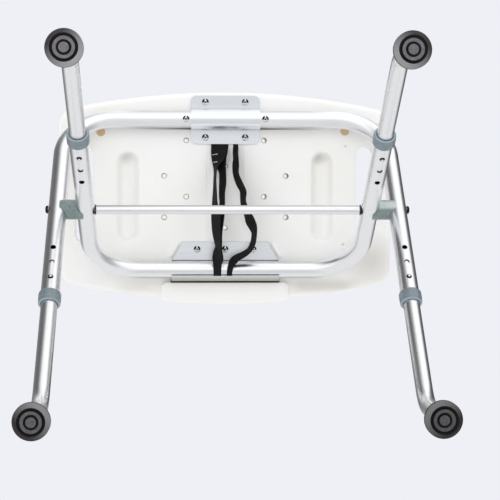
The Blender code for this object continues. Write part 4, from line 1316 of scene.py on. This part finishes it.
# A strand's node, how far above the seat's underside it starts and how wide, how far it lies off the inner
# cross tube, and where and how wide it hooks over that. Each of its rows gives X, Y from the pivot, the drop
# below the seat, the webbing's turn about its own length in degrees, and its width as a share of the strap's.
Strand = collections.namedtuple("Strand", "label node inside head_width lap hook_x hook_width rows")
LEFT = Strand("left", "strap_left_run", 0.0014, 0.30, 0.0009, -0.0058, 0.32, (
    (-0.0155, 0.0945, 0.0030, 20, 0.30), (-0.0153, 0.0905, 0.0058, 55, 0.50),
    (-0.0151, 0.0800, 0.0108, 74, 0.9), (-0.0149, 0.0715, 0.0140, 71, 0.95),
    (-0.0151, 0.0600, 0.0180, 70, 0.95), (-0.0158, 0.0500, 0.0218, 74, 0.85),
    (-0.0192, 0.0402, 0.0252, 74, 0.85), (-0.0236, 0.0313, 0.0285, 77, 0.9),
    (-0.0258, 0.0225, 0.0312, 69, 0.9), (-0.0258, 0.0092, 0.0345, 74, 0.9),
    (-0.0323, -0.0085, 0.0375, 70, 1.0), (-0.0356, -0.0173, 0.0390, 63, 1.0),
    (-0.0397, -0.0261, 0.0400, 66, 1.0), (-0.0414, -0.0349, 0.0403, 75, 1.0),
    (-0.0408, -0.0437, 0.0394, 77, 1.0), (-0.0392, -0.0510, 0.0382, 78, 0.95),
    (-0.0348, -0.0596, 0.0372, 78, 0.90), (-0.0278, -0.0655, 0.0366, 76, 0.85),
    (-0.0176, -0.0710, 0.0356, 73, 0.75), (-0.0110, -0.0765, 0.0338, 60, 0.60),
    (-0.0079, -0.0825, 0.0306, 30, 0.40),
))
RIGHT_FRONT = Strand("right_front", "strap_right_run", 0.0002, 1.0, 0.0020, 0.0124, 0.44, (
    (0.0085, 0.0940, 0.0042, 6, 1.0), (0.0095, 0.0849, 0.0088, 22, 1.0),
    (0.0108, 0.0730, 0.0138, 44, 1.0), (0.0146, 0.0600, 0.0186, 77, 0.9),
    (0.0160, 0.0446, 0.0235, 80, 0.8), (0.0163, 0.0313, 0.0285, 78, 0.8),
    (0.0165, 0.0180, 0.0325, 74, 0.85), (0.0164, 0.0050, 0.0355, 70, 0.9),
    (0.0150, -0.0085, 0.0380, 60, 1.0), (0.0148, -0.0217, 0.0395, 62, 1.0),
    (0.0140, -0.0349, 0.0402, 64, 1.0), (0.0125, -0.0482, 0.0400, 70, 1.0),
    (0.0116, -0.0570, 0.0390, 72, 0.95), (0.0122, -0.0655, 0.0372, 56, 0.85),
    (0.0124, -0.0735, 0.0350, 34, 0.70), (0.0124, -0.0815, 0.0310, 8, 0.50),
))
RIGHT_BACK = Strand("right_back", "strap_right_run", 0.0014, 1.0, 0.0009, 0.0120, 0.44, (
    (0.0080, 0.0940, 0.0026, 6, 1.0), (0.0082, 0.0849, 0.0070, 22, 1.0),
    (0.0078, 0.0730, 0.0118, 44, 1.0), (0.0048, 0.0600, 0.0168, 66, 0.95),
    (0.0044, 0.0491, 0.0205, 67, 0.9), (0.0046, 0.0357, 0.0258, 65, 0.9),
    (0.0056, 0.0224, 0.0302, 70, 0.9), (0.0056, 0.0092, 0.0335, 73, 0.95),
    (0.0085, -0.0085, 0.0368, 62, 1.0), (0.0102, -0.0217, 0.0385, 62, 1.0),
    (0.0116, -0.0349, 0.0392, 64, 1.0), (0.0108, -0.0482, 0.0388, 70, 1.0),
    (0.0100, -0.0570, 0.0374, 72, 0.95), (0.0106, -0.0655, 0.0354, 56, 0.85),
    (0.0114, -0.0735, 0.0332, 34, 0.70), (0.0118, -0.0815, 0.0294, 8, 0.48),
))

# Where the strap leaves the seat, hangs free, and comes to the inner frame
STRAP_MIDDLE = Vector((0, PIVOT_Y + 0.012, UNDERSIDE - 0.038))


def strand_rows(strand):
    """A strand's places, turns and widths, from under the hinge bracket to the inner cross tube."""
    first = strand.rows[0][0]
    rows = [(first, PIVOT_Y + y, UNDERSIDE + strand.inside, 0, strand.head_width) for y in (0.107, 0.0975)]
    rows += [(x, PIVOT_Y + y, UNDERSIDE - drop, turn, width) for x, y, drop, turn, width in strand.rows]
    centre = cross_tube(INNER)
    reach = sizes().tube / 2 + strand.lap
    for t in arc(256, 160, 8):
        y = centre.y + reach * math.cos(t)
        z = centre.z + reach * math.sin(t)
        rows.append((strand.hook_x, y, z, 0, strand.hook_width))
    return smooth_path(rows, 0.003)


def strand_axes(rows, index):
    """A strand's place at one of its rows, the way it runs there, and the way its width lies."""
    x, y, z, turn, _ = rows[index]
    ahead = Vector(rows[min(index + 1, len(rows) - 1)][:3])
    behind = Vector(rows[max(index - 1, 0)][:3])
    along = (ahead - behind).normalized()
    across = (Vector((1, 0, 0)) - along * along.x).normalized()
    return Vector((x, y, z)), along, Matrix.Rotation(math.radians(turn), 3, along) @ across


def ribbon(bm, rows):
    """Extrudes the webbing's width along its rows and maps it in metres. Returns its length."""
    uv = bm.loops.layers.uv.verify()
    wide = sizes().strap
    run = 0.0
    for index, row in enumerate(rows):
        place, _, across = strand_axes(rows, index)
        half = wide / 2 * row[4]
        ends = [place - across * half, place + across * half]
        if index == 0:
            sides = [bm.verts.new(end) for end in ends]
            edges = [bm.edges.new(sides)]
        else:
            step = (place - before).length
            run += step
            fresh, edges = extruded(bm, edges)
            if any(sides[0] in edge.verts for edge in fresh[1].link_edges):
                fresh.reverse()
            for vert, end in zip(fresh, ends):
                vert.co = end
            for loop in edges[0].link_faces[0].loops:
                side = 0 if loop.vert in (sides[0], fresh[0]) else 1
                loop[uv].uv = (side * wide, run if loop.vert in fresh else run - step)
            sides = fresh
        before = place
    return run


def strand_piece(name, rows, node):
    bm = bmesh.new()
    length = ribbon(bm, rows)
    across = [edge for edge in bm.edges if edge.calc_length() > 0.006]
    bmesh.ops.subdivide_edges(bm, edges=across, cuts=3, use_grid_fill=True)
    piece = finished(name, bm, "webbing", None, (), 60, recalc=False)
    thicken(piece, 0.0010, False)
    baked(piece, 50)
    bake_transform(piece)
    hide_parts(node)


def build_strap():
    """Each strand in two pieces, split at the row nearest the strap's free middle."""
    for strand in (LEFT, RIGHT_FRONT, RIGHT_BACK):
        name = "strap_" + strand.label
        rows = strand_rows(strand)
        split = min(range(len(rows)), key=lambda i: abs(rows[i][1] - STRAP_MIDDLE.y))
        upper = rows[:split + 1]
        lower = rows[split:]
        strand_piece(
            name + "_upper", upper, strand.node)
        strand_piece(
            name + "_lower", lower, strand.node)


def build_stitches():
    """Two bars of white zigzag thread through the doubled end of the strap."""
    rows = strand_rows(RIGHT_FRONT)
    bm = new_bmesh()
    for bar_y, near in ((0.0835, 0.0104), (0.0712, 0.0092)):
        index = min(range(len(rows)), key=lambda i: abs(rows[i][1] - PIVOT_Y - bar_y))
        place, along, across = strand_axes(rows, index)
        down = across.cross(along).normalized()
        down *= -1 if down.z > 0 else 1
        for k in range(4):
            start = place + across * (near - 0.0023 * k) + down * 0.0008 + along * (0.0010 * (k % 2))
            end = start - across * 0.0021 + along * (0.0012 if k % 2 == 0 else -0.0012)
            path = [start, start.lerp(end, 0.5) + down * 0.0003, end]
            for edges in swept(bm, stops_along(path, 0.00035), 8):
                bmesh.ops.holes_fill(bm, edges=edges)
    piece = finished("strap_stitches", bm, "thread", None, (), 60)
    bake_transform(piece)


# Stage

# The photograph's camera: its width in pixels and its focal length in them, then its place and its two angles
PHOTO_WIDTH = 500
FOCAL_PIXELS = 1601.05
SENSOR_WIDTH = 36
CAMERA_PLACE = (0.0810, PIVOT_Y + 0.01735, PIVOT_HEIGHT - 2.25972)
CAMERA_PITCH = -0.03283
CAMERA_YAW = 0.04937

# The studio's darker patches, for the metal only: the way to each, where it begins and is full, and its level
STUDIO_PATCHES = (
    ((0.73, 0.66, 0.17), 0.60, 1.0, 0.08),
    ((-0.75, 0.16, 0.64), 0.68, 0.93, 0.06),
    ((0.62, 0.0, 0.78), 0.76, 0.96, 0.22),
    ((-0.20, 0.0, 0.98), 0.72, 0.97, 0.50),
    ((-0.93, -0.25, -0.25), 0.84, 0.97, 0.52),
)


def floor_material():
    """A pale floor that only the camera sees, and only from above. All other light passes through it."""
    finish = Finish(colours().backdrop, 0.9)
    finish.material.name = "pale floor"
    where = finish.node("TexCoord").outputs["Object"]
    grain = finish.node("TexNoise", {"Vector": where, "Scale": 40}).outputs["Fac"]
    bump = finish.node("Bump", {"Height": grain, "Strength": 0.02}).outputs["Normal"]
    finish.tree.links.new(bump, finish.shader.inputs["Normal"])
    camera = finish.node("LightPath").outputs["Is Camera Ray"]
    behind = finish.node("NewGeometry").outputs["Backfacing"]
    seen = finish.node("Math", {0: camera, 1: behind}, operation="SUBTRACT", use_clamp=True).outputs[0]
    clear = finish.node("BsdfTransparent").outputs[0]
    mixed = finish.node("MixShader", {0: seen, 1: clear, 2: finish.shader.outputs[0]}).outputs[0]
    finish.tree.links.new(mixed, finish.tree.nodes["Material Output"].inputs["Surface"])
    return finish.material


def build_floor():
    bm = bmesh.new()
    bmesh.ops.create_grid(bm, x_segments=1, y_segments=1, size=6.0)
    mesh = mesh_from("floor", bm)
    mesh.materials.append(floor_material())
    floor = added("floor", mesh)


def build_world():
    """An even soft light, a pale backdrop, and for the metal a white studio with darker patches."""
    world = bpy.data.worlds.new("studio")
    bpy.context.scene.world = world
    world.use_nodes = True
    tree = world.node_tree
    tree.nodes.clear()
    place = add_node(tree, "TexCoord").outputs["Generated"]

    def background(colour, strength):
        return add_node(tree, "Background", {"Color": (*colour, 1), "Strength": strength}).outputs[0]

    def facing(direction, low, high, to_low, to_high):
        aim = Vector(direction).normalized()
        dot = add_node(tree, "VectorMath", {0: place, 1: aim}, operation="DOT_PRODUCT").outputs["Value"]
        values = {"Value": dot, "From Min": low, "From Max": high, "To Min": to_low, "To Max": to_high}
        return add_node(tree, "MapRange", values, interpolation_type="SMOOTHSTEP").outputs["Result"]

    level = facing((0, 1, 0), 0.02, 0.12, 0.84, 1.22)
    for direction, low, high, dark in STUDIO_PATCHES:
        patch = facing(direction, low, high, 1.0, dark)
        level = add_node(tree, "Math", {0: level, 1: patch}, operation="MULTIPLY").outputs[0]
    studio = background((0.99, 0.993, 1.0), level)
    soft = background((1, 1, 1), 0.99)
    backdrop = background(colours().backdrop, 1.0)
    rays = add_node(tree, "LightPath").outputs
    shine = add_node(tree, "MixShader", {0: rays["Is Glossy Ray"], 1: soft, 2: studio}).outputs[0]
    seen = add_node(tree, "MixShader", {0: rays["Is Camera Ray"], 1: shine, 2: backdrop}).outputs[0]
    add_node(tree, "OutputWorld", {0: seen})


def soft_lamp(name, place, target, size, power):
    lamp = bpy.data.lights.new(name, "AREA")
    lamp.shape = "RECTANGLE"
    lamp.size, lamp.size_y = size
    lamp.energy = power
    item = added(name, lamp)
    item.matrix_world = pointing(place, Vector(place) - Vector(target))
    item.visible_glossy = False


def build_camera():
    """The photograph's view, from under the stool, with the seat's hinge side at the top of the picture."""
    camera = bpy.data.cameras.new("camera")
    camera.sensor_width = SENSOR_WIDTH
    camera.lens = FOCAL_PIXELS * SENSOR_WIDTH / PHOTO_WIDTH
    camera.clip_end = 50
    up = Vector((0, math.cos(CAMERA_PITCH), -math.sin(CAMERA_PITCH)))
    right = Vector((-math.cos(CAMERA_YAW), -math.sin(CAMERA_PITCH) * math.sin(CAMERA_YAW),
                    -math.cos(CAMERA_PITCH) * math.sin(CAMERA_YAW)))
    turn = Matrix((right, up, right.cross(up))).transposed()
    item = added("camera", camera)
    item.matrix_world = Matrix.Translation(CAMERA_PLACE) @ turn.to_4x4()
    bpy.context.scene.camera = item


# Operators


def each_leg(build):
    for which in FRAMES:
        for label, side in SIDES:
            build(which, side, f"{which.name}_{label}")


class StoolOperator:
    bl_options = {"REGISTER", "UNDO"}


class STOOL_OT_frames(StoolOperator, bpy.types.Operator):
    """Build the two U frames of tube"""

    bl_idname = "stool.frames"
    bl_label = "Frames"

    def execute(self, context):
        for which in FRAMES:
            build_frame_tube(which)
        return {"FINISHED"}


class STOOL_OT_legs(StoolOperator, bpy.types.Operator):
    """Build the four lower legs and their collars"""

    bl_idname = "stool.legs"
    bl_label = "Lower legs and collars"

    def execute(self, context):
        each_leg(build_lower_leg)
        each_leg(build_collar)
        return {"FINISHED"}


class STOOL_OT_feet(StoolOperator, bpy.types.Operator):
    """Build the four rubber feet"""

    bl_idname = "stool.feet"
    bl_label = "Feet"

    def execute(self, context):
        each_leg(build_foot)
        return {"FINISHED"}


class STOOL_OT_buttons(StoolOperator, bpy.types.Operator):
    """Build the snap buttons and their springs"""

    bl_idname = "stool.buttons"
    bl_label = "Snap buttons"

    def execute(self, context):
        each_leg(build_snap_button)
        each_leg(build_spring)
        return {"FINISHED"}


class STOOL_OT_pivot(StoolOperator, bpy.types.Operator):
    """Build the rod, its bolts, washers and saddles"""

    bl_idname = "stool.pivot"
    bl_label = "Pivot"

    def execute(self, context):
        build_rod()
        for label, side in SIDES:
            build_bolt(label, side)
            build_rod_washer(label, side)
            build_saddles(label, side)
        return {"FINISHED"}


class STOOL_OT_seat(StoolOperator, bpy.types.Operator):
    """Build the moulded seat with its plugs, its thick front edge and its ribs"""

    bl_idname = "stool.seat"
    bl_label = "Seat"

    def execute(self, context):
        build_seat()
        build_seat_plugs()
        build_front_boss()
        build_seat_ribs()
        return {"FINISHED"}


class STOOL_OT_brackets(StoolOperator, bpy.types.Operator):
    """Build the hinge bracket and the catch bracket"""

    bl_idname = "stool.brackets"
    bl_label = "Brackets"

    def execute(self, context):
        build_hinge_bracket()
        build_catch_bracket()
        return {"FINISHED"}


class STOOL_OT_screws(StoolOperator, bpy.types.Operator):
    """Build the brackets' screws and the stop screws"""

    bl_idname = "stool.screws"
    bl_label = "Screws"

    def execute(self, context):
        build_screws()
        return {"FINISHED"}


class STOOL_OT_strap(StoolOperator, bpy.types.Operator):
    """Build the webbing strap and its stitches"""

    bl_idname = "stool.strap"
    bl_label = "Strap"

    def execute(self, context):
        build_strap()
        build_stitches()
        return {"FINISHED"}


class STOOL_OT_stage(StoolOperator, bpy.types.Operator):
    """Build the floor, the light and the camera"""

    bl_idname = "stool.stage"
    bl_label = "Stage"

    def execute(self, context):
        bpy.context.scene.view_settings.view_transform = "Standard"
        build_floor()
        build_world()
        soft_lamp("lamp below", (0.35, 1.35, -1.2), (0, 0, 0.45), (1.3, 0.9), 6)
        soft_lamp("lamp above", (-0.9, -0.8, 1.9), (0, 0, 0.3), (1.4, 1.4), 4)
        build_camera()
        return {"FINISHED"}


OPERATORS = (
    STOOL_OT_frames,
    STOOL_OT_legs,
    STOOL_OT_feet,
    STOOL_OT_buttons,
    STOOL_OT_pivot,
    STOOL_OT_seat,
    STOOL_OT_brackets,
    STOOL_OT_screws,
    STOOL_OT_strap,
    STOOL_OT_stage,
)


class STOOL_PT_sidebar(bpy.types.Panel):
    """Lists the stool's sizes, colours and pieces"""

    bl_label = "Folding shower stool"
    bl_space_type = "VIEW_3D"
    bl_region_type = "UI"
    bl_category = "Stool"

    def draw(self, context):
        for group in (context.scene.stool_sizes, context.scene.stool_colours):
            box = self.layout.box()
            for name in group.__annotations__:
                box.prop(group, name)
        for operator in OPERATORS:
            self.layout.operator(operator.bl_idname)


CLASSES = (StoolSizes, StoolColours, *OPERATORS, STOOL_PT_sidebar)


def register():
    for each in CLASSES:
        bpy.utils.register_class(each)
    bpy.types.Scene.stool_sizes = PointerProperty(type=StoolSizes)
    bpy.types.Scene.stool_colours = PointerProperty(type=StoolColours)


def unregister():
    del bpy.types.Scene.stool_colours
    del bpy.types.Scene.stool_sizes
    for each in reversed(CLASSES):
        bpy.utils.unregister_class(each)


def main():
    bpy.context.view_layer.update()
    for name in ("Cube", "Light", "Camera"):
        if name in bpy.data.objects:
            bpy.data.objects.remove(bpy.data.objects[name])
    register()
    for operator in OPERATORS:
        group, name = operator.bl_idname.split(".")
        getattr(getattr(bpy.ops, group), name)()


if __name__ == "__main__":
    main()
